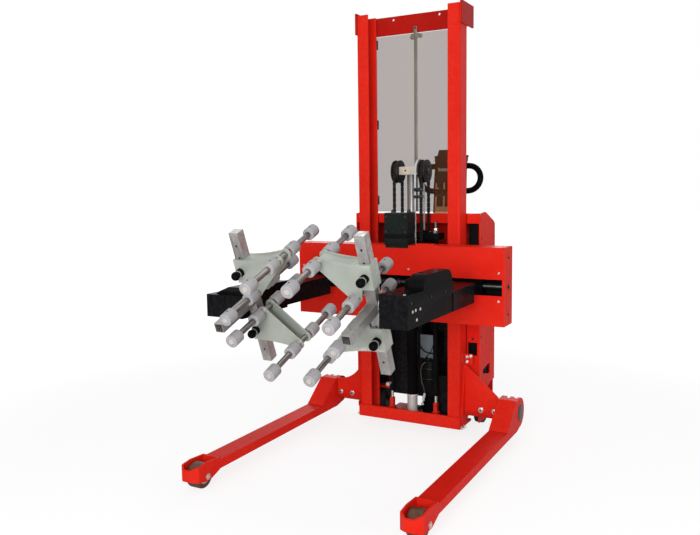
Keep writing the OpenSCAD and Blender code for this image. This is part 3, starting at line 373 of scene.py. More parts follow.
finish("red_plastic", "red_plastic", "red_plastic", (0.60, 0.015, 0.012), 0.3, coat=0.3, vary=0.05,
       grain=0.1)
finish("brown", "brown_tyre", "brown_tyre", (0.085, 0.030, 0.012), 0.4, vary=0.2, vary_scale=25,
       grain=0.2, dust=0.12)
finish("tyre", "black_tyre", "black_tyre", (0.012, 0.012, 0.012), 0.65, vary=0.25, vary_scale=20,
       grain=0.4, dust=0.10)
finish("case", "battery_case", "battery_case", (0.02, 0.02, 0.022), 0.5, vary=0.15, grain=0.3)
clear_sheet()
finish("blue", "clear_panel", "light_panel", (0.20, 0.25, 0.27), 0.35, vary=0.1, vary_scale=4,
       grain=0.05)

# The CAD's own nodes get their finish and softly rounded edges

# The top bridge takes the darker red, which is painted shade
NODE_MAT = {
    "right_head": "bare", "left_head": "bare", "guide_rods": "shaft", "clamp_screw": "shaft",
    "crosshead": "beige", "valve_box": "box", "right_arm": "gloss", "right_arm_cover": "gloss",
    "left_arm": "gloss", "left_arm_cover": "gloss", "tiller_head": "gloss", "lift_cylinder": "gloss",
    "piston_rod": "piston", "top_bridge": "shaded_red", "tiller_arm": "umber",
}


def dress_node(ob, key):
    ob.data.materials.clear()
    ob.data.materials.append(M[key])
    weld = ob.modifiers.new("weld", "WELD")
    weld.merge_threshold = 0.00002
    flat = ob.modifiers.new("flat", "DECIMATE")
    flat.decimate_type = "DISSOLVE"
    flat.angle_limit = math.radians(0.6)
    edge = ob.modifiers.new("edge", "BEVEL")
    edge.width = 0.0016
    edge.segments = 2
    edge.limit_method = "ANGLE"
    edge.angle_limit = math.radians(32)
    edge.harden_normals = True


node_slot = {s["node"]: s["material_slot"] for s in frame["record"]["subparts"]}
for name, ob in frame["nodes"].items():
    dress_node(ob, NODE_MAT.get(name, USUAL[node_slot[name]]))

# Mesh kit: every piece is gathered in one mesh in millimetres, then placed by its frame

AXES = {
    "X": Matrix(((0, 0, 1), (1, 0, 0), (0, 1, 0))).to_4x4(),
    "Y": Matrix(((0, 1, 0), (0, 0, 1), (1, 0, 0))).to_4x4(),
    "Z": Matrix.Identity(4),
}
SHARP_ANGLE = math.radians(35)


def circle(n, r=1.0):
    """Points spread evenly round a circle."""
    angles = [2 * math.pi * k / n for k in range(n)]
    return [(r * math.cos(t), r * math.sin(t)) for t in angles]


def ring_route(x, y, z, r):
    """Closed route of a weld bead round an axis along X."""
    angles = [math.radians(a) for a in range(0, 361, 20)]
    return [(x, y + r * math.cos(t), z + r * math.sin(t)) for t in angles]


def both_ends(half, middle=()):
    """Profile that is the same at both ends, from (radius, distance from the middle)."""
    return [(r, -h) for r, h in half] + list(middle) + [(r, h) for r, h in reversed(half)]


def closed(profile):
    return profile + profile[:1]


def smooth(points, steps):
    """Points along the curve that runs smoothly through the given ones."""
    p = [Vector(q) for q in points]
    path = []
    for i in range(len(p) - 1):
        a, b, c, d = p[max(i - 1, 0)], p[i], p[i + 1], p[min(i + 2, len(p) - 1)]
        for k in range(steps):
            t = k / steps
            path.append(0.5 * ((2 * b) + (c - a) * t + (2 * a - 5 * b + 4 * c - d) * t * t
                               + (3 * b - a - 3 * c + d) * t ** 3))
    return path + [p[-1]]


class Piece:
    """One mesh in one material, which rides on one body."""

    def __init__(self, name, mat, body, at=MAST):
        self.name, self.mat, self.body, self.at = name, mat, body, at
        self.bm = bmesh.new()

    def box(self, lo, hi, round_=1.2, seg=2):
        """Block with rounded edges."""
        lo, hi = Vector(lo), Vector(hi)
        made = bmesh.ops.create_cube(self.bm, size=1)["verts"]
        m = Matrix.Translation((lo + hi) / 2) @ Matrix.Diagonal((*(hi - lo), 1))
        bmesh.ops.transform(self.bm, matrix=m, verts=made)
        edges = list({e for v in made for e in v.link_edges})
        offset = min(round_, min(hi - lo) * 0.45)
        bmesh.ops.bevel(self.bm, geom=edges, offset=offset, segments=seg, affect="EDGES", profile=0.5)
        return self

    def lathe(self, profile, origin, axis="Z", seg=32, turn=0.0):
        """Solid of revolution; profile lists (radius, height) from one end to the other."""
        m = Matrix.Translation(origin) @ AXES[axis] @ Matrix.Rotation(turn, 4, "Z")
        rings = []
        for r, h in profile:
            spots = circle(seg, r) if r else [(0, 0)]
            rings.append([self.bm.verts.new(m @ Vector((x, y, h))) for x, y in spots])
        for a, b in zip(rings, rings[1:]):
            for k in range(seg):
                j = (k + 1) % seg
                if len(a) == 1:
                    self.bm.faces.new((a[0], b[j], b[k]))
                elif len(b) == 1:
                    self.bm.faces.new((a[k], a[j], b[0]))
                else:
                    self.bm.faces.new((a[k], a[j], b[j], b[k]))
        return self

    def rod(self, r, h0, h1, origin, axis="Z", round_=1.0, seg=32, bore=0.0):
        """Round bar, or tube where it has a bore, with eased ends."""
        c = min(round_, abs(h1 - h0) * 0.4, r * 0.6)
        rim = [(r - c, h0), (r - 0.3 * c, h0 + 0.3 * c), (r, h0 + c)]
        rim += [(r, h1 - c), (r - 0.3 * c, h1 - 0.3 * c), (r - c, h1)]
        if bore:
            return self.lathe(closed([(bore, h0)] + rim + [(bore, h1)]), origin, axis, seg)
        return self.lathe([(0, h0)] + rim + [(0, h1)], origin, axis, seg)

    def hex(self, r, h0, h1, origin, axis="Z", turn=0.0):
        """Hexagon head with a chamfered face at its far end."""
        chamfer = math.copysign(r * 0.12, h1 - h0)
        profile = [(0, h0), (r, h0), (r, h1 - chamfer), (r * 0.86, h1), (0, h1)]
        return self.lathe(profile, origin, axis, 6, turn)

    def socket(self, r, h, origin, axis="Z", s=1):
        """Socket-head screw: washer, domed rim and sunk middle."""
        sunk = s * (h - 0.5 * r)
        washer = [(0, 0), (r * 1.45, 0), (r * 1.5, s * 0.6), (r * 1.45, s * 1.6)]
        head = [(r, s * 1.7), (r, s * (h - 1)), (r * 0.9, s * h), (r * 0.52, s * h)]
        return self.lathe(washer + head + [(r * 0.5, sunk), (0, sunk)], origin, axis, 24)

    def ball(self, r, middle, seg):
        n = seg // 2
        angles = [math.pi * k / n for k in range(1, n)]
        profile = [(r * math.sin(t), -r * math.cos(t)) for t in angles]
        return self.lathe([(0, -r)] + profile + [(0, r)], middle, "Z", seg)

    def prism(self, outline, x0, x1):
        """Plate of an outline in the Y-Z plane, from x0 to x1."""
        low = [self.bm.verts.new((x0, y, z)) for y, z in outline]
        top = [self.bm.verts.new((x1, y, z)) for y, z in outline]
        self.bm.faces.new(low[::-1])
        self.bm.faces.new(top)
        for k in range(len(outline)):
            j = (k + 1) % len(outline)
            self.bm.faces.new((low[k], low[j], top[j], top[k]))
        return self

    def tube(self, points, r, seg=14, steps=6):
        """Hose, wire or weld bead of radius r on a smooth curve through points."""
        path = smooth(points, steps)
        steep = abs((path[1] - path[0]).normalized().z) >= 0.9
        up = Vector((1, 0, 0)) if steep else Vector((0, 0, 1))
        rings = []
        for i, q in enumerate(path):
            d = (path[min(i + 1, len(path) - 1)] - path[max(i - 1, 0)]).normalized()
            side = d.cross(up).normalized()
            up = side.cross(d).normalized()
            rings.append([self.bm.verts.new(q + (side * c + up * s) * r) for c, s in circle(seg)])
        for a, b in zip(rings, rings[1:]):
            for k in range(seg):
                j = (k + 1) % seg
                self.bm.faces.new((a[k], a[j], b[j], b[k]))
        self.bm.faces.new(rings[0][::-1])
        self.bm.faces.new(rings[-1])
        return self

    def done(self, *replaced):
        """Places the mesh, and makes it ride on its body in place of the nodes it replaces."""
        bmesh.ops.recalc_face_normals(self.bm, faces=self.bm.faces[:])
        bmesh.ops.transform(self.bm, matrix=self.at, verts=self.bm.verts[:])
        if self.at.determinant() < 0:
            bmesh.ops.reverse_faces(self.bm, faces=self.bm.faces[:])
        me = bpy.data.meshes.new(self.name)
        self.bm.to_mesh(me)
        self.bm.free()
        me.shade_smooth()
        me.set_sharp_from_angle(angle=SHARP_ANGLE)
        me.materials.append(M[self.mat])
        ob = bpy.data.objects.new(self.name, me)
        bpy.context.scene.collection.objects.link(ob)
        if self.body:
            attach(ob, self.body)
        if replaced:
            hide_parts(*replaced)
        return ob


# Gripper heads. In their frame X runs out from the middle, Y along the bars, Z along the post

POST_X, POST_Y, POST_END, POST_HALF = 262.0, -20.0, 277.5, 19.4
BAR_R, HALF_BAR = 11.2, 248.0
BARS = ((84.0, 177.0), (211.0, 45.0))
PAD_BORE, HALF_PAD = 11.3, 26.0
PAD_SPOTS = (-HALF_BAR + HALF_PAD, -74.0, 74.0, HALF_BAR - HALF_PAD)
PAD_END = ((PAD_BORE, 23), (11.6, 25.4), (12.4, HALF_PAD), (20.6, HALF_PAD), (22.6, 25.3), (23.6, 24),
           (24, 22))
RING_SPOTS, RING_WIDTH = (31.3, 36.6), 2.2
MOUTH_Y, PLUNGER_Z = POST_Y - 51.3, 126
KNOB_R = 17.0
HUB_R = 35.2


def pads_and_bars(key, here):
    """Grip pads with their set screws, on two bars with end plugs and snap rings."""
    slide = key + "_slide"
    pads = Piece(key + "_grip_pads", "pad", slide, here)
    plugs = Piece(key + "_pad_plugs", "plug", slide, here)
    holes = Piece(key + "_set_screws", "dark", slide, here)
    bars = Piece(key + "_bars", "bar", slide, here)
    rings = Piece(key + "_snap_rings", "zinc", slide, here)
    plug = ((0, 5), (10.9, 5), (11.0, 1.2), (10.2, 0.4), (0, 0.4))
    for x, z in BARS:
        bars.rod(BAR_R, POST_Y - HALF_BAR + 6, POST_Y + HALF_BAR - 6, (x, 0, z), "Y", 1.5)
        for y in PAD_SPOTS:
            spot = (x, POST_Y + y, z)
            pads.lathe(closed(both_ends(PAD_END)), spot, "Y", 40)
            holes.lathe([(0, 21.5), (3.0, 21.5), (3.4, 24.12), (0, 24.12)], spot, "Z", 16)
        for s in (-1, 1):
            end = POST_Y + s * HALF_BAR
            plugs.lathe([(r, end - s * inwards) for r, inwards in plug], (x, 0, z), "Y", 28)
            for y in RING_SPOTS:
                near, far = POST_Y + s * y, POST_Y + s * (y + RING_WIDTH)
                rings.rod(14.6, near, far, (x, 0, z), "Y", 0.5, 28, bore=PAD_BORE)
    pads.done(key + "_pads")
    plugs.done()
    holes.done()
    bars.done()
    rings.done()


def plunger(key, here):
    """Spring plunger with its ball knob, and the sleeve that it pulls out of."""
    origin = (POST_X, MOUTH_Y, PLUNGER_Z)
    sleeve = Piece(key + "_plunger_sleeve", "gloss", key + "_slide", here)
    sleeve.lathe(closed([(14.1, 17), (16.4, 17), (16.6, 13), (16.6, 6), (14.5, 2), (14.1, 1)]), origin, "Y")
    sleeve.done()
    shank = [(0, 30.9), (4, 30.9), (4, -0.2), (10.5, -0.4), (11.5, -1.4), (11.5, -4.6), (10.2, -6.0)]
    angles = [math.radians(a) for a in range(-50, 90, 10)]
    ball = [(KNOB_R * math.cos(t), -KNOB_R - KNOB_R * math.sin(t)) for t in angles]
    knob = Piece(key + "_plunger_knob", "gloss", key + "_lock", here)
    knob.lathe(shank + ball + [(0, -2 * KNOB_R)], origin, "Y")
    knob.done(key + "_plunger")


def sleeve_welds(key, here):
    """Weld beads where the webs meet the slider's sleeve."""
    beads = Piece(key + "_sleeve_welds", "grey", key + "_slide", here)
    for y in (POST_Y - 25.4, POST_Y + 25.4):
        uneven = [(POST_X - 25.5 - 0.1 * (k % 2), y, z) for k, z in enumerate((80, 100, 128, 152, 171))]
        beads.tube(uneven, 2.0, 8, 3)
    beads.done()


def head_trim(side, here):
    """Caps on the ends of the post, and the rim and weld of the hub that it turns on."""
    body = side + "_head_body"
    caps = Piece(side + "_post_caps", "zinc", body, here)
    x0, x1 = POST_X - POST_HALF, POST_X + POST_HALF
    y0, y1 = POST_Y - POST_HALF, POST_Y + POST_HALF
    for s in (-1, 1):
        low, high = span(s, POST_END, POST_END + 2.7)
        caps.box((x0, y0, low), (x1, y1, high))
    caps.done()
    hub = Piece(side + "_head_hub", "bare", body, here)
    hub.lathe([(34.2, 20.2), (35.4, 20.6), (35.6, 23), (34.2, 25)], (POST_X, 0, 0), "X", 40)
    hub.tube(ring_route(POST_X + 20.6, 0, 0, HUB_R), 2.2, 8, 2)
    hub.done()


for side, sg in SIDES:
    for level, lv in LEVELS:
        here = HEAD @ flip(sg, lv)
        pads_and_bars(side + "_" + level, here)
        plunger(side + "_" + level, here)
        sleeve_welds(side + "_" + level, here)
    head_trim(side, HEAD @ flip(sg))

# Mast top: clear panel with its clips, centre strip with the cable's bracket, bridge

PANEL_FRONT = PANEL_BACK - 3
CLIP_HEIGHTS = (1110, 1475, 1854)
STRIP_BACK = 105.5


def guard_panel():
    sheet = Piece("clear_panel", "clear", "frame")
    sheet.box((-PANEL_X, PANEL_FRONT, PANEL_LOW), (PANEL_X, PANEL_BACK, BRIDGE_LOW - 2), 0.6)
    sheet.done("guard_panel")
    clips = Piece("panel_clips", "plastic", "frame")
    for z in CLIP_HEIGHTS:
        for s in (-1, 1):
            low, high = span(s, 196, 220)
            clips.box((low, PANEL_FRONT - 10, z - 22), (high, PANEL_FRONT, z + 22), 2.0)
            clips.rod(4.5, 93.4, 97, (s * 199, 0, z), "Y", 0.8, 16)
    clips.done()


def centre_strip():
    """Strip up the middle of the panel, with the bracket at its top."""
    strip = Piece("centre_strip", "strip", "frame")
    strip.box((-8, 102.6, 1056), (8, 105.9, 1880), 0.8)
    strip.box((-22, 101, 1868), (20, STRIP_BACK, 1890))
    strip.box((-9, 99.8, 1884), (9, STRIP_BACK, 1922), 2.0)
    strip.rod(10, 97.5, STRIP_BACK, (-16, 0, 1872), "Y", 1.0, 24)
    strip.rod(9, 97.5, STRIP_BACK, (26, 0, 1876), "Y", 1.0, 24)
    strip.box((14, 102, 1872), (27, STRIP_BACK, 1882), 1.0)
    strip.done()
    boss = Piece("bracket_boss", "shaft", "frame")
    boss.rod(5, 96.4, 99.9, (-1, 0, 1914), "Y", 0.8, 24)
    boss.done()


def bridge_trim():
    """Stud on the bridge, and the weld beads that join it to the uprights."""
    stud = Piece("bridge_stud", "zinc", "frame")
    stud.rod(3, 1989, 1999, (262, 20, 0), "Z", 0.8, 16)
    stud.done()
    beads = Piece("bridge_welds", "red", "frame")
    front = ((258, -0.4, 1894), (259.5, -0.6, 1915), (259, -0.4, 1940), (259.4, -0.5, 1978))
    under = ((258.5, 4, 1892), (258.8, 30, 1892.4), (258.5, 60, 1892), (258.8, 93, 1892))
    for s in (-1, 1):
        for route in (front, under):
            beads.tube([(s * x, y, z) for x, y, z in route], 1.8, 8, 4)
    beads.done()


guard_panel()
centre_strip()
bridge_trim()

# Lift: leaf chains and signal cable over the sheaves

CHAIN_R, CABLE_R, CABLE_X = 45.0, 54.0, 42
REAR_Y, FRONT_Y = CYLINDER_Y + CHAIN_R, CYLINDER_Y - CHAIN_R
RUN_TOP = SHEAVE_Z - 1
CHAIN_PITCH = 12.7
PLATE_R, PLATE_THICK, PIN_R, PIN_HALF = 4.6, 1.7, 2.2, 7.4
PLATES = ((-4, 0, 4), (-6, -2, 2, 6))


def link(piece, x, a, b):
    """Figure-of-eight link plate from a to b in the Y-Z plane."""
    across = math.atan2(b[1] - a[1], b[0] - a[0]) + math.pi / 2
    y, z = (a[0] + b[0]) / 2, (a[1] + b[1]) / 2
    waist_y, waist_z = PLATE_R * 0.72 * math.cos(across), PLATE_R * 0.72 * math.sin(across)
    turns = [across + math.pi * k / 6 for k in range(7)]
    outline = [(a[0] + PLATE_R * math.cos(t), a[1] + PLATE_R * math.sin(t)) for t in turns]
    outline.append((y - waist_y, z - waist_z))
    outline += [(b[0] - PLATE_R * math.cos(t), b[1] - PLATE_R * math.sin(t)) for t in turns]
    outline.append((y + waist_y, z + waist_z))
    piece.prism(outline, x - PLATE_THICK / 2, x + PLATE_THICK / 2)


def chain(name, points, body, replaced):
    """Leaf chain on each of the two sheaves: interleaved plates on pins through points."""
    p = Piece(name, "chain", body)
    for s in (-1, 1):
        x = s * SHEAVE_X
        for i, (a, b) in enumerate(zip(points, points[1:])):
            for d in PLATES[i % 2]:
                link(p, x + d, a, b)
        for y, z in points:
            p.rod(PIN_R, x - PIN_HALF, x + PIN_HALF, (0, y, z), "X", 0.5, 10)
    return p.done(replaced)


def run(y, z0):
    """Pins of a straight run of chain, from z0 up to the sheaves."""
    n = round((RUN_TOP - z0) / CHAIN_PITCH)
    return [(y, z0 + (RUN_TOP - z0) * k / n) for k in range(n + 1)]


def over_sheave(r, degrees):
    """Points at these angles round the sheaves' axis."""
    angles = [math.radians(a) for a in degrees]
    return [(CYLINDER_Y + r * math.cos(t), SHEAVE_Z + r * math.sin(t)) for t in angles]


def chains():
    rear = chain("chain_rear_links", run(REAR_Y, 967), None, "chain_rear_runs")
    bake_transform(rear)
    front = chain("chain_front_links", run(FRONT_Y, 638), None, "chain_front_runs")
    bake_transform(front)
    arc = over_sheave(CHAIN_R, [180 * k / 11 for k in range(12)])
    chain("chain_arc_links", arc, "lift_head", "chain_sheave_arcs")


def signal_cable():
    cab = Piece("cable_rear", "hose", None)
    cab.tube([(CABLE_X, 101.5, z) for z in (966, 1010, 1060, 1110, 1160, 1210, RUN_TOP)], 4.0, 12, 4)
    cab = cab.done()
    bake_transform(cab)
    cab = Piece("cable_front", "hose", None)
    heights = (641, 720, 800, 880, 960, 1040, 1120, 1180, RUN_TOP)
    cab.tube([(CABLE_X, -6.5, z) for z in heights], 4.6, 12, 4)
    cab = cab.done()
    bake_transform(cab)
    cab = Piece("cable_arc", "hose", "lift_head")
    cab.tube([(CABLE_X, y, z) for y, z in over_sheave(CABLE_R, range(180, -1, -15))], 4.6, 12, 3)
    cab.done()


chains()
signal_cable()

# Lift: fittings of the sheaves, crosshead, cylinder, tie rods and chain ends

SHEAVE_AXIS = (0, CYLINDER_Y, SHEAVE_Z)
TIE_X, TIE_Y = 115, 65
THREAD_PITCH, THREAD_TURNS = 3, 10


def sheave_trim():
    """Hubs and rims of the sheaves, and a bolt in the crosshead between them."""
    hubs = Piece("sheave_hubs", "shaft", "lift_head")
    hub = ((0, 83.2), (19, 83.2), (20, 84), (20, 85.6), (12, 86.4), (12, 88.6), (0, 88.8))
    for s in (-1, 1):
        hubs.lathe([(r, s * x) for r, x in hub], SHEAVE_AXIS, "X", 28)
        hubs.hex(9, s * 88.6, s * 93.5, SHEAVE_AXIS, "X")
    hubs.done()
    rim = ((54.1, -6.2), (54.5, -3), (53.6, 0.2), (40, 0.3), (38, 1.1), (26, 1.1), (24, 0.3))
    for side, sg in SIDES:
        rims = Piece(side + "_sheave_rim", "chain", side + "_sheave_body")
        for s in (-1, 1):
            face = sg * SHEAVE_X + s * 15
            rims.lathe([(r, face + s * outwards) for r, outwards in rim], SHEAVE_AXIS, "X", 48)
        rims.done()
    bolt = Piece("crosshead_bolt", "dark", "lift_head")
    bolt.rod(4.2, 21.5, 23.2, (-20, 0, 1249), "Y", 0.3, 16)
    bolt.done()


def cylinder_trim():
    """Gland at the cylinder's top, and the bright foot at its bottom."""
    gland = Piece("cylinder_gland", "shaft", "frame")
    gland.lathe([(30.7, 968), (31.6, 969), (31.6, 974), (30.7, 975)], (0, CYLINDER_Y, 0), "Z", 40)
    wiper = [(20.3, 0.2), (24, 3.5), (28.5, 3), (30.6, 0.2)]
    gland.lathe(wiper, (0, CYLINDER_Y, CYLINDER_TOP), "Z", 40)
    gland.done()
    foot = Piece("cylinder_foot", "foot", "frame")
    profile = [(26.6, 176), (27.3, 174.5), (27.3, 171), (24.6, 170), (24.6, 66), (27.5, 64), (27.5, 59.2)]
    foot.lathe(profile, (0, CYLINDER_Y, 0), "Z", 48)
    foot.done()


def thread(piece, r, bore, z0, axis):
    for k in range(THREAD_TURNS):
        z = z0 + THREAD_PITCH * k
        piece.rod(r, z, z + 1.3, axis, "Z", 0.4, 20, bore=bore)


def tie_rod_trim():
    """Threads, nuts and clevis rims of the two tie rods."""
    studs = Piece("tie_rod_studs", "zinc", "frame")
    for s in (-1, 1):
        axis = (s * TIE_X, TIE_Y, 0)
        studs.lathe([(6.8, 141), (6.8, 172), (9.4, 173), (9.4, 176.5), (13.4, 176.8)], axis, "Z", 20)
        thread(studs, 7.15, 6.5, 143, axis)
        studs.hex(12.6, 954.8, 967, axis, "Z")
        studs.hex(12.6, 969, 978, axis, "Z", turn=0.4)
        thread(studs, 6.9, 6.3, 980, axis)
        studs.lathe([(12.2, 98), (13.2, 98.5), (13.2, 101), (12, 101.5)], axis, "Z", 6)
    studs.done()


def chain_fixings():
    """Pins at both ends of the chains, and the clamp on the front run."""
    clevis = Piece("clevis_pins", "zinc", "frame")
    for s in (-1, 1):
        clevis.rod(3.2, -12.6, 12.6, (s * SHEAVE_X, REAR_Y, 958), "X", 0.6, 14)
    clevis.done()
    clamp = Piece("chain_clamp", "plastic", None)
    clamp.box((36, -13, 1120), (82, -1.2, 1134), 3.0)
    clamp.box((36, -13, 1150), (82, -1.2, 1168), 3.0)
    clamp = clamp.done()
    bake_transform(clamp)
    pins = Piece("chain_anchor_pins", "zinc", "carriage")
    for s in (-1, 1):
        x = s * SHEAVE_X
        pins.rod(3.2, x - 12.5, x + 12.5, (0, FRONT_Y, 631), "X", 0.6, 14)
        pins.hex(7, x + 10, x + 15, (0, FRONT_Y, 631), "X")
    pins.done()


sheave_trim()
cylinder_trim()
tie_rod_trim()
chain_fixings()

# Carriage: bolts, painted shade inside the beam, weld beads, fittings of the valve box

BEAM_TOP = 912.0
INSIDE_X = 499


def beam_bolts():
    bolts = Piece("beam_bolts", "zinc", "carriage")
    for x, z in ((484, 803), (484, 682), (-484, 803), (-484, 682), (68, 805), (-68, 805)):
        bolts.socket(3.2, 2.6, (x, BEAM_FRONT, z), "Y", -1)
    for s in (-1, 1):
        for z in (640, 845):
            bolts.hex(7, s * 184, s * 189, (0, -14, z), "X")
    bolts.done()
    ends = Piece("beam_end_bolts", "shaft", "carriage")
    for s in (-1, 1):
        for z in (620, 866):
            ends.hex(6, s * BEAM_X, s * (BEAM_X + 4), (0, -88, z), "X")
        ends.hex(8, s * BEAM_X, s * (BEAM_X + 5), (0, -88, 740), "X")
    ends.done()


def beam_trim():
    """Near-black sheets of painted shade behind the beam's slot, and the weld beads of its end plates."""
    # Near-black sheets inside the beam stand for the shade in its hollow
    shade_plate = Piece("beam_shade_sheet", "dark", "carriage")
    shade_plate.box((-INSIDE_X, -42, 583), (INSIDE_X, -39.8, 902), 0.5)
    shade_plate.box((-INSIDE_X, -134, 582), (INSIDE_X, -41, 583.4), 0.4)
    shade_plate.box((-INSIDE_X, -134, 901.4), (INSIDE_X, -41, 903), 0.4)
    shade_plate.done()
    beads = Piece("beam_welds", "red", "carriage")
    for s in (-1, 1):
        x = s * 501.5
        beads.tube([(x, BEAM_FRONT - 0.3, z) for z in (575, 640, 700, 760, 820, 880, 910)], 1.3, 8, 3)
        beads.tube([(x, y, BEAM_TOP + 0.2) for y in (-143, -110, -75, -33)], 1.3, 8, 3)
    beads.done()


def valve_box_trim():
    """Lid with two cable glands, a near-black strip of painted shade in the groove across the front, and
    screws.
    """
    fittings = Piece("valve_box_fittings", "plastic", "carriage")
    for x, y in ((-28, -100), (44, -84)):
        cable_gland = [(9, 0), (9, 5), (7.5, 6), (7.5, 12), (6, 13)]
        fittings.lathe(cable_gland, (x, y, VALVE_TOP), "Z", 20)
    fittings.box((-46, -153.6, 1052), (64, -64, 1057.8), 2.5)
    fittings.done()
    # The groove is a near-black strip: painted shade
    groove = Piece("valve_box_groove_shade", "dark", "carriage")
    groove.box((-45, -153.4, 942), (63, -151, 962), 0.4)
    groove.done()
    screws = Piece("valve_box_screws", "shaft", "carriage")
    for x in (-38, 56):
        for z in (972, 1040):
            screws.socket(3.2, 2.4, (x, VALVE_FRONT, z), "Y", -1)
    screws.done()


beam_bolts()
beam_trim()
valve_box_trim()

# Arms: caps over holes, painted shade in one hole, and screws of the covers

SIDE_CAPS = ((-863, 743), (-837, 745), (-796, 744), (-828, 710))
RIGHT_LID, LEFT_LID = 805, 788


def right_arm_trim():
    caps = Piece("right_arm_caps", "plug", "right_arm_body")
    for y, z in SIDE_CAPS:
        caps.lathe([(0, 401), (5.6, 401), (5.8, 402), (4.6, 403.2), (0, 403.6)], (0, y, z), "X", 20)
    caps.lathe([(0, 0), (5, 0), (5.2, 1.2), (4, 2.4), (0, 2.6)], (385, -895, RIGHT_LID), "Z", 20)
    caps.done()
    # Near-black disc over the hole in the arm's front: painted shade
    hole = Piece("arm_hole_shade", "dark", "right_arm_body")
    hole.rod(4, RIGHT_ARM_FRONT - 0.3, RIGHT_ARM_FRONT + 1, (330, 0, 730), "Y", 0.2, 16)
    hole.done()
    screws = Piece("right_cover_screws", "shaft", "right_arm_body")
    for y in (-880, -700, -560):
        screws.socket(3.4, 2.6, (RIGHT_ARM_SIDE, y, 775), "X")
    for y in (-830, -520):
        screws.socket(3.4, 2.6, (310, y, RIGHT_LID), "Z")
    screws.done()


def left_arm_trim():
    screws = Piece("left_cover_screws", "shaft", "left_arm_body")
    for y in (-840, -640):
        screws.socket(3.4, 2.6, (-330, y, LEFT_LID), "Z")
    for z in (700, 740):
        screws.socket(3.4, 2.6, (LEFT_ARM_SIDE, -880, z), "X", -1)
    screws.done()


right_arm_trim()
left_arm_trim()

# Base: bolts with washers, weld beads

TUBE_Y, TUBE_Z = 105, 134
LOCK_BOLTS = (MAST_X + 82, MAST_X + 147)
PLATE_BOLTS = ((9.5, 354), (9.5, 377), (28.5, 382))


def base_bolts():
    """Lock bolts of the cross tubes, and bolts of the gussets and of the base plate."""
    bolts = Piece("frame_socket_bolts", "zinc", "frame")
    # Near-black hexagons in the lock bolts' sockets: painted shade in the recesses
    sockets = Piece("frame_bolt_socket_shade", "dark", "frame")
    lock = [(0, 60.4), (12.6, 60.4), (12.8, 58.8), (11.8, 58.2), (8.6, 58.0), (8.6, 52.4), (7.6, 51.4),
            (0, 51.4)]
    for s in (-1, 1):
        for x in LOCK_BOLTS:
            bolts.lathe(lock, (s * x, 0, TUBE_Z), "Y", 28)
            sockets.lathe([(0, 51.6), (4.2, 51.6), (4.2, 51.1), (0, 51.1)], (s * x, 0, TUBE_Z), "Y", 6)
        for dx, z in PLATE_BOLTS:
            axis = (s * (MAST_X + dx), 0, z)
            bolts.hex(7.4, 70, 63.4, axis, "Y", turn=0.3)
            bolts.rod(8.6, 68.8, 70.2, axis, "Y", 0.3, 20)
            bolts.rod(3.6, 61, 64, axis, "Y", 0.5, 14)
        for y in (8, 34):
            low, high = span(s, 262, 278)
            bolts.rod(4, low, high, (0, y, 54), "X", 0.6, 14)
            bolts.hex(8.2, s * 262.6, s * 270, (0, y, 54), "X")
    bolts.done("frame_bolts")
    sockets.done()


def base_welds():
    """Beads round the cross tubes, down the gussets and inside the uprights' feet."""
    beads = Piece("base_welds", "red", "frame")
    for s in (-1, 1):
        beads.tube(ring_route(s * (MAST_X + 8), TUBE_Y, TUBE_Z, 45.6), 2.6, 8, 2)
        beads.tube([(s * (MAST_X + 1.5), 56.6, z) for z in (150, 200, 250, 300, 341)], 2.2, 8, 3)
        beads.tube([(s * UPRIGHT_IN, 0.2, z) for z in (60, 75, 90, 105)], 1.6, 8, 3)
    beads.done()


base_bolts()
base_welds()

# Legs, load wheels and castors, drawn on the right and mirrored to the left

LOAD_TYRE_END = ((30, 26), (44, 26.4), (48.6, 25.4), (49.8, 22.5), (50, 17))
LOAD_HUB_END = ((10.1, 32), (17, 32), (18, 31), (18, 28), (30.5, 27))
FORK_HALF = 43.2
CASTOR_TYRE_END = ((40, 17), (56, 19.5), (60.5, 17.5), (61.8, 12))
CASTOR_TREAD = ((62, 0),)
CASTOR_HUB_END = ((7.1, 19), (14, 19), (15, 16), (36, 14), (40.5, 16))


def leg_trim(side, at):
    """Disc on the leg's end, bolts of its bracket, and weld beads at both ends of the beam."""
    body = side + "_leg_body"
    cap = Piece(side + "_leg_cap", "shaft", body, at)
    disc = [(0, 511), (42.5, 511), (43.5, 512), (43.5, 513.2), (41, 514.6), (12, 515.2), (0, 515.2)]
    cap.lathe(disc, (0, TUBE_Y, TUBE_Z), "X", 48)
    cap.done()
    studs = Piece(side + "_leg_bolts", "zinc", body, at)
    for x, turn in ((460, 0.2), (494, 0.5)):
        studs.hex(8.5, 197, 205, (x, 100, 0), "Z", turn=turn)
        studs.rod(10.5, 200.8, 202.4, (x, 100, 0), "Z", 0.3, 24)
    studs.done()
    beads = Piece(side + "_leg_welds", "red", body, at)
    rear = [(427, -89, 96), (440, -91, 97.4), (470, -91, 97.4), (500, -91, 97.4), (511, -89, 96)]
    front = [(427, -903, 98), (440, -904, 95.6), (470, -904, 95.6), (500, -904, 95.6), (511, -903, 98)]
    beads.tube(rear, 2.4, 8, 4)
    beads.tube(front, 2.4, 8, 4)
    beads.done()


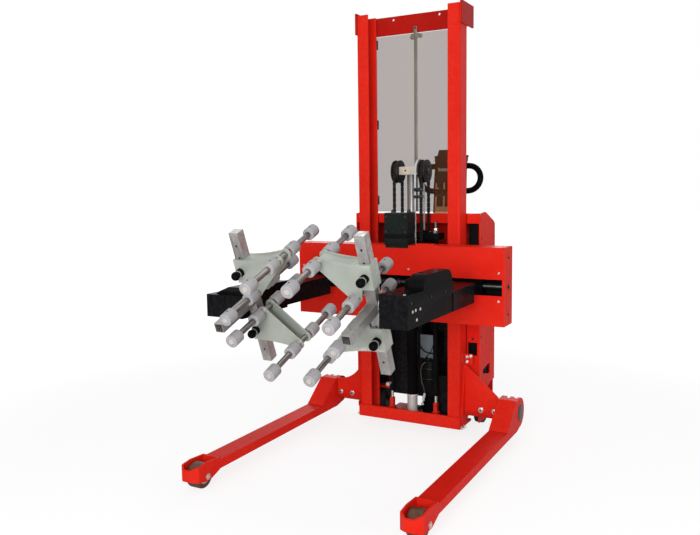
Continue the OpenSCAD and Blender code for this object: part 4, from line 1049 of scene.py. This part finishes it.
def load_wheel(side, at):
    """Wheel in the leg's fork, with the washers and heads of its axle bolt."""
    x, y, z = LOAD_WHEEL
    axle = Piece(side + "_axle_bolt", "zinc", side + "_leg_body", at)
    for s in (1, -1):
        face = x + s * FORK_HALF
        low, high = sorted((face, face + s * 1.6))
        axle.rod(13, low, high, (0, y, z), "X", 0.4, 28)
        axle.hex(9.5, face + s * 1.5, face + s * 4.6, (0, y, z), "X", turn=0.3)
    axle.done()
    tyre = Piece(side + "_load_tyre", "brown", side + "_load_wheel_body", at)
    tyre.lathe(both_ends(LOAD_TYRE_END), LOAD_WHEEL, "X", 56)
    tyre.done(side + "_load_wheel")
    hub = Piece(side + "_load_hub", "zinc", side + "_load_wheel_body", at)
    hub.lathe(closed(both_ends(LOAD_HUB_END)), LOAD_WHEEL, "X")
    hub.done()


def castor(side, at):
    """Castor wheel with tyre, hub and axle nuts."""
    tyre = Piece(side + "_castor_tyre", "tyre", side + "_castor_roll", at)
    tyre.lathe(both_ends(CASTOR_TYRE_END, CASTOR_TREAD), CASTOR_WHEEL, "X", 48)
    tyre.done(side + "_castor_wheel")
    hub = Piece(side + "_castor_hub", "case", side + "_castor_roll", at)
    hub.lathe(closed(both_ends(CASTOR_HUB_END)), CASTOR_WHEEL, "X")
    hub.done()
    nuts = Piece(side + "_castor_nuts", "zinc", side + "_castor", at)
    for s in (1, -1):
        nuts.hex(10, s * 28, s * 36, CASTOR_WHEEL, "X")
    nuts.done()


for side, sg in SIDES:
    at = MAST @ flip(sg)
    leg_trim(side, at)
    load_wheel(side, at)
    castor(side, at)

# Chassis: near-black sheets of painted shade behind the openings, screws, plug in front of the pump

SHADE_SHEETS = ((116, 118, 376, 448), (114.5, 116, 660, 1000))


def chassis_shade_sheets():
    # Near-black sheets behind the chassis' openings and at its back stand for the shade inside: painted shade
    shade_plate = Piece("chassis_shade_sheets", "dark", "frame")
    for s in (-1, 1):
        low, high = span(s, 262, 313)
        for y0, y1, z0, z1 in SHADE_SHEETS:
            shade_plate.box((low, y0, z0), (high, y1, z1), 0.4)
        low, high = span(s, 309, 311)
        shade_plate.box((low, 136, 258), (high, 256, 326), 0.4)
    shade_plate.box((-176, 303, 132), (176, 306, 636), 0.5)
    shade_plate.done()


def chassis_screws():
    screws = Piece("chassis_screws", "shaft", "frame")
    for s in (-1, 1):
        for z in (466, 700, 930):
            for y in (118, 302):
                screws.socket(3.2, 2.4, (s * CHASSIS_X, y, z), "X", s)
        for z in (460, 620, 780):
            screws.socket(4.0, 3.0, (s * 288, CHASSIS_FRONT, z), "Y", -1)
    screws.done()


def level_plug():
    """Pale ball on a short rod that points forward."""
    plug = Piece("level_plugs", "plug", "frame")
    plug.ball(11, (-118, 20, 215), 24)
    plug.rod(5, 20, 64, (-118, 0, 215), "Y", 0.5, 16)
    plug.done()


chassis_shade_sheets()
chassis_screws()
level_plug()

# Hydraulics: light panel, pump with its bands and cap, leads and hose

PUMP_X, PUMP_Y = 50, 150


def pump():
    panel = Piece("light_panel", "blue", "frame")
    panel.box((-7, 162.6, 328), (77.6, 166.2, 446))
    panel.done()
    bands = Piece("pump_bands", "shaft", "frame")
    for z in (235, 286):
        bands.rod(43.0, z, z + 3, (PUMP_X, PUMP_Y, 0), "Z", 0.6, 48, bore=41.8)
    bands.done()
    cap = Piece("pump_cap", "black", "frame")
    dome = [(42.1, 321), (41, 325), (36, 328), (20, 329), (8, 329), (8, 332), (0, 332)]
    cap.lathe(dome, (PUMP_X, PUMP_Y, 0), "Z", 40)
    for a in (0.6, 2.6):
        cap.rod(5, 326, 336, (PUMP_X + 26 * math.cos(a), PUMP_Y + 26 * math.sin(a), 0), "Z", 0.6, 14)
    for k in range(3):
        cap.rod(3.2, 256, 260, (112, 140 + 22 * k, 0), "Z", 0.5, 12)
    cap.done()


def pump_lines():
    """Electric leads over the pump, its hose with a fitting, and the thin sensor lead."""
    leads = Piece("pump_leads", "plastic", "frame")
    leads.tube([(-14, 163, 398), (-8, 156, 390), (13, 155, 367), (37, 155, 358), (62, 155, 356),
                (79, 158, 358), (84, 172, 362)], 3.2, 10)
    leads.tube([(71, 163, 412), (65, 158, 399), (50, 157, 362), (32, 157, 342), (28, 160, 332)], 2.2, 10)
    leads.done()
    hose = Piece("pump_hoses", "hose", "frame")
    hose.tube([(50, 66, 143), (52, 62, 154), (56, 61, 168), (58, 62, 180)], 6.0, 14, 5)
    hose.ball(7.5, (46, 62, 126), 16)
    hose.done()
    sensor = Piece("pump_sensor_lead", "strip", "frame")
    sensor.tube([(46, 66, 126), (49, 66, 146)], 3.0, 10, 2)
    sensor.tube([(57, 64, 178), (46, 84, 192), (34, 98, 206), (26, 100, 228), (22, 100, 283), (30, 104, 308),
                 (44, 112, 322), (52, 130, 330)], 1.8, 10)
    sensor.done()


pump()
pump_lines()

# Batteries: leads and vents

BATTERY_WIDTH, BATTERY_LID = 240, 861


def battery_trim():
    leads = Piece("battery_leads", "plastic", "frame")
    leads.tube([(-210, 160, 880), (-180, 160, 902), (-60, 168, 905), (20, 165, 902), (50, 160, 880)], 6.5, 12)
    leads.tube([(-50, 160, 880), (-30, 190, 900), (0, 250, 905), (20, 300, 880), (24, 304, 800),
                (20, 300, 700)], 6.5, 12)
    leads.done()
    vents = Piece("battery_vents", "plastic", "frame")
    cap = [(0, 0), (13, 0), (13.5, 1), (13, 4), (9, 5.4), (0, 5.6)]
    for x0 in (BATTERY_X, -BATTERY_X - BATTERY_WIDTH):
        for k in range(3):
            for y in (205, 250):
                vents.lathe(cap, (x0 + 50 + 70 * k, y, BATTERY_LID), "Z", 20)
        for y in (136, 278):
            vents.box((x0 + 6, y, BATTERY_LID), (x0 + BATTERY_WIDTH - 6, y + 6, BATTERY_LID + 3), 1.0)
    vents.done()


battery_trim()

# Drive: wheel, gearbox with cooling fins, hood with its vent, trim and stop button

DRIVE_TYRE_END = ((70, 35), (104, 36.6), (112, 35.5), (114.6, 32), (115, 26))
DRIVE_HUB_END = ((14.2, 36), (26, 36), (28, 34), (30, 24), (62, 22), (70.5, 32))
MOTOR_R = 48


def drive_wheel():
    tyre = Piece("drive_tyre", "tyre", "drive_wheel_body")
    tyre.lathe(both_ends(DRIVE_TYRE_END), DRIVE_WHEEL, "X", 64)
    tyre.done("drive_wheel")
    hub = Piece("drive_hub", "shaft", "drive_wheel_body")
    hub.lathe(closed(both_ends(DRIVE_HUB_END)), DRIVE_WHEEL, "X", 48)
    for y, z in circle(5, 46):
        for s in (-1, 1):
            hub.hex(7, s * 22, s * 29, (0, DRIVE_Y + y, DRIVE_Z + z), "X")
    hub.done()


def drive_gearbox():
    gear = Piece("drive_gearbox", "black", "drive")
    gear.lathe([(70.4, 290.5), (72, 292), (72, 307), (70.5, 309.5), (54, 310.6), (49, 314), (48.4, 330),
                (48.4, 500), (46, 516), (41, 520.5)], (0, DRIVE_Y, 0), "Z", 48)
    for x, y in circle(8, 61):
        gear.hex(6, 309.8, 315, (x, DRIVE_Y + y, 0), "Z")
    for k in range(7):
        gear.rod(51, 352 + 20 * k, 358 + 20 * k, (0, DRIVE_Y, 0), "Z", 1.5, 48, bore=MOTOR_R)
    gear.done()


def hood_trim():
    """Slats of the rear vent, the ring round the steering column, and screws."""
    trim = Piece("hood_trim", "black", "frame")
    for k in range(6):
        z = 250 + 26 * k
        trim.box((-95, HOOD_BACK - 0.8, z), (95, HOOD_BACK + 1.6, z + 9), 1.0)
    ring = [(40.3, -2), (52, -1.4), (54, 1), (53, 4), (46, 5.5), (42, 3)]
    trim.lathe(closed(ring), (0, DRIVE_Y, HOOD_TOP), "Z", 48)
    trim.done()
    screws = Piece("hood_screws", "zinc", "frame")
    for s in (-1, 1):
        for y, z in ((345, 580), (345, 200), (600, 200), (590, 420)):
            screws.socket(4.5, 3.4, (s * HOOD_X, y, z), "X", s)
    screws.done()


def stop_button():
    seat = (STOP_X, STOP_Y, HOOD_TOP)
    collar = Piece("stop_collar", "strip", "frame")
    collar.lathe(closed([(25.6, 0.2), (29.6, 0.4), (30.4, 2), (29.6, 4.2), (25.6, 5)]), seat)
    collar.done()
    cap = Piece("stop_cap", "red_plastic", "stop")
    cap.lathe([(0, 21), (14, 21.4), (22, 20.8), (24.4, 18), (24.6, 12), (22.5, 7), (20, 5.6), (17, 5.6)], seat)
    cap.done()


drive_wheel()
drive_gearbox()
hood_trim()
stop_button()

# Tiller. In its frame Z runs along the arm, and the head's middle is at HEAD_Z

HEAD_Z = 518.0
GRIP_R, GRIP_X, GRIP_END_X, GRIP_BAR_R = 66, 100, 86, 15.4


def tiller_panels():
    """Front plate of the head, and plates on both faces of the arm below it."""
    plates = Piece("tiller_panel", "box", "tiller", TILLER)
    plates.box((-66, -29.5, HEAD_Z - 66), (66, -25.4, HEAD_Z + 60), 3.0)
    plates.box((-74, -24.5, HEAD_Z - 240), (74, -21.4, HEAD_Z - 96), 3.0)
    plates.box((-60, 21.6, HEAD_Z - 236), (60, 24.6, HEAD_Z - 100), 2.4)
    plates.done()
    trim = Piece("tiller_trim", "tan", "tiller", TILLER)
    for x in (-67, -22, 22, 67):
        trim.box((x - 4.5, -27, HEAD_Z - 178), (x + 4.5, -24, HEAD_Z - 97), 0.8)
        trim.box((x - 4.5, -31.2, HEAD_Z - 60), (x + 4.5, -29, HEAD_Z - 26), 0.8)
    trim.box((-71, -26, HEAD_Z - 214), (71, -24, HEAD_Z - 152), 0.8)
    trim.done()
    band = Piece("tiller_band", "plug", "tiller", TILLER)
    band.box((-60, -31, HEAD_Z + 35), (60, -29, HEAD_Z + 50))
    band.done()


def tiller_grips():
    """Grip loop and its collars on each side of the head."""
    grips = Piece("tiller_grips", "gloss", "tiller", TILLER)
    bend = [math.radians(a) for a in range(20, 161, 20)]
    loop = [(GRIP_END_X, GRIP_R), (GRIP_X, GRIP_R)]
    loop += [(GRIP_X + GRIP_R * math.sin(t), GRIP_R * math.cos(t)) for t in bend]
    loop += [(GRIP_X, -GRIP_R), (GRIP_END_X, -GRIP_R)]
    collar = ((15.3, 80), (19, 80.5), (20, 83), (19, 87), (15.3, 88))
    for s in (-1, 1):
        grips.tube([(s * x, 0, HEAD_Z + z) for x, z in loop], GRIP_BAR_R, 20, 4)
        for z in (HEAD_Z + GRIP_R, HEAD_Z - GRIP_R):
            grips.lathe([(r, s * x) for r, x in collar], (0, 0, z), "X", 28)
    grips.done()


def tiller_screws():
    """Screws of the head, and the bolt that the arm leans on."""
    bolts = Piece("tiller_screws", "zinc", "tiller", TILLER)
    for x in (-56, 56):
        for z in (HEAD_Z - 56, HEAD_Z + 50):
            bolts.socket(3.4, 2.6, (x, -29.5, z), "Y", -1)
            bolts.socket(3.4, 2.6, (x, 26, z), "Y")
    for s in (-1, 1):
        bolts.hex(13, s * 57, s * 64, (0, 0, 0), "X")
    bolts.done()


def tiller_controls():
    """Paddles of the thumb lever, and the pad of the belly button."""
    levers = Piece("thumb_paddles", "plastic", "thumb", TILLER)
    for s in (-1, 1):
        low, high = span(s, 78.6, 91.4)
        levers.box((low, -8.8, HEAD_Z + 90.5), (high, 8.8, HEAD_Z + 122.5), 4.0, 3)
        low, high = span(s, 73, 96)
        levers.box((low, -5, HEAD_Z + 112), (high, 5, HEAD_Z + 122), 3.0, 3)
    levers.done()
    pad = Piece("belly_pad", "red_plastic", "belly", TILLER)
    dome = [(0, 34.6), (14, 34.4), (18.8, 33), (20.05, 30), (20.05, 26.2)]
    pad.lathe(dome, (0, 0, HEAD_Z + 120), "Y")
    pad.done()


def tiller_foot():
    """Bellows round the foot of the arm, and the guard on the steering column."""
    boot = Piece("tiller_boot", "plastic", "tiller", TILLER)
    for k in range(6):
        x, z = 38 + 0.3 * (k % 2), 60 + 16 * k
        boot.box((-x, -20, z), (x, 20, z + 10), 2.5)
    boot.done()
    guard = Piece("column_guard", "black", "drive")
    guard.lathe([(40.4, 622), (41.2, 626), (41.2, 626.4), (40.4, 630)], (0, DRIVE_Y, 0), "Z", 40)
    guard.done()


tiller_panels()
tiller_grips()
tiller_screws()
tiller_controls()
tiller_foot()

# Floor, world and lights, in metres

FLOOR_HALF = 30
FADE_START, FADE_END, NEAR_SHARE = 1.4, 4.0, 0.74


def seen_directly(nt, rays):
    """One for the camera's own rays, also through the clear panel."""
    return combined(nt, "MAXIMUM", rays["Is Camera Ray"], rays["Is Transmission Ray"])


def stage():
    """Pale floor that keeps the shadow near the object and fades to white away from it."""
    a = FLOOR_HALF
    me = bpy.data.meshes.new("floor")
    me.from_pydata([(-a, -a, 0), (a, -a, 0), (a, a, 0), (-a, a, 0)], [], [(0, 1, 2, 3)])
    floor = bpy.data.objects.new("floor", me)
    bpy.context.scene.collection.objects.link(floor)
    m = bpy.data.materials.new("floor")
    nt = cleared(m)
    plain = add_node(nt, "BsdfDiffuse", {"Color": (0.86, 0.86, 0.86, 1)})
    white = add_node(nt, "Emission", {"Color": WHITE, "Strength": 1.10})
    rays = add_node(nt, "LightPath").outputs
    where = add_node(nt, "TexCoord").outputs["Object"]
    away = add_node(nt, "VectorMath", links={0: where}, operation="LENGTH").outputs["Value"]
    fade = ramp(nt, away, FADE_START, FADE_END, NEAR_SHARE, 1.0, interpolation_type="SMOOTHSTEP")
    share = combined(nt, "MULTIPLY", seen_directly(nt, rays), fade)
    mix = add_node(nt, "MixShader", links={"Fac": share, 1: plain.outputs[0], 2: white.outputs[0]})
    add_node(nt, "OutputMaterial", links={0: mix.outputs[0]})
    me.materials.append(m)


def world():
    """Soft light on the object, and plain white where the camera or a reflection sees past it."""
    w = bpy.data.worlds.new("world")
    bpy.context.scene.world = w
    nt = cleared(w)
    lit = add_node(nt, "Background", {"Color": WHITE, "Strength": 0.36})
    seen = add_node(nt, "Background", {"Color": WHITE, "Strength": 1.0})
    rays = add_node(nt, "LightPath").outputs
    share = combined(nt, "MAXIMUM", seen_directly(nt, rays), rays["Is Glossy Ray"])
    mix = add_node(nt, "MixShader", links={"Fac": share, 1: lit.outputs[0], 2: seen.outputs[0]})
    add_node(nt, "OutputWorld", links={0: mix.outputs[0]})


def area(name, position, target, extent, power):
    data = bpy.data.lights.new(name, "AREA")
    data.shape = "RECTANGLE"
    data.size, data.size_y = extent
    data.energy = power
    lamp = bpy.data.objects.new(name, data)
    bpy.context.scene.collection.objects.link(lamp)
    position, target = Vector(position), Vector(target)
    aim = (target - position).to_track_quat("-Z", "Y").to_matrix().to_4x4()
    lamp.matrix_world = Matrix.Translation(position) @ aim


stage()
world()
area("key", (1.1, -4.4, 1.6), (0, -0.1, 0.45), (2.6, 1.6), 135)
area("fill", (4.0, -1.4, 1.2), (0, 0, 0.5), (2.4, 2.0), 30)
area("back", (-1.6, 4.6, 2.6), (0, 0.3, 0.8), (3.0, 2.2), 42)
area("top", (0.2, 0.2, 5.2), (0, 0, 0.5), (3.0, 3.0), 40)
bpy.context.scene.view_settings.view_transform = "Standard"
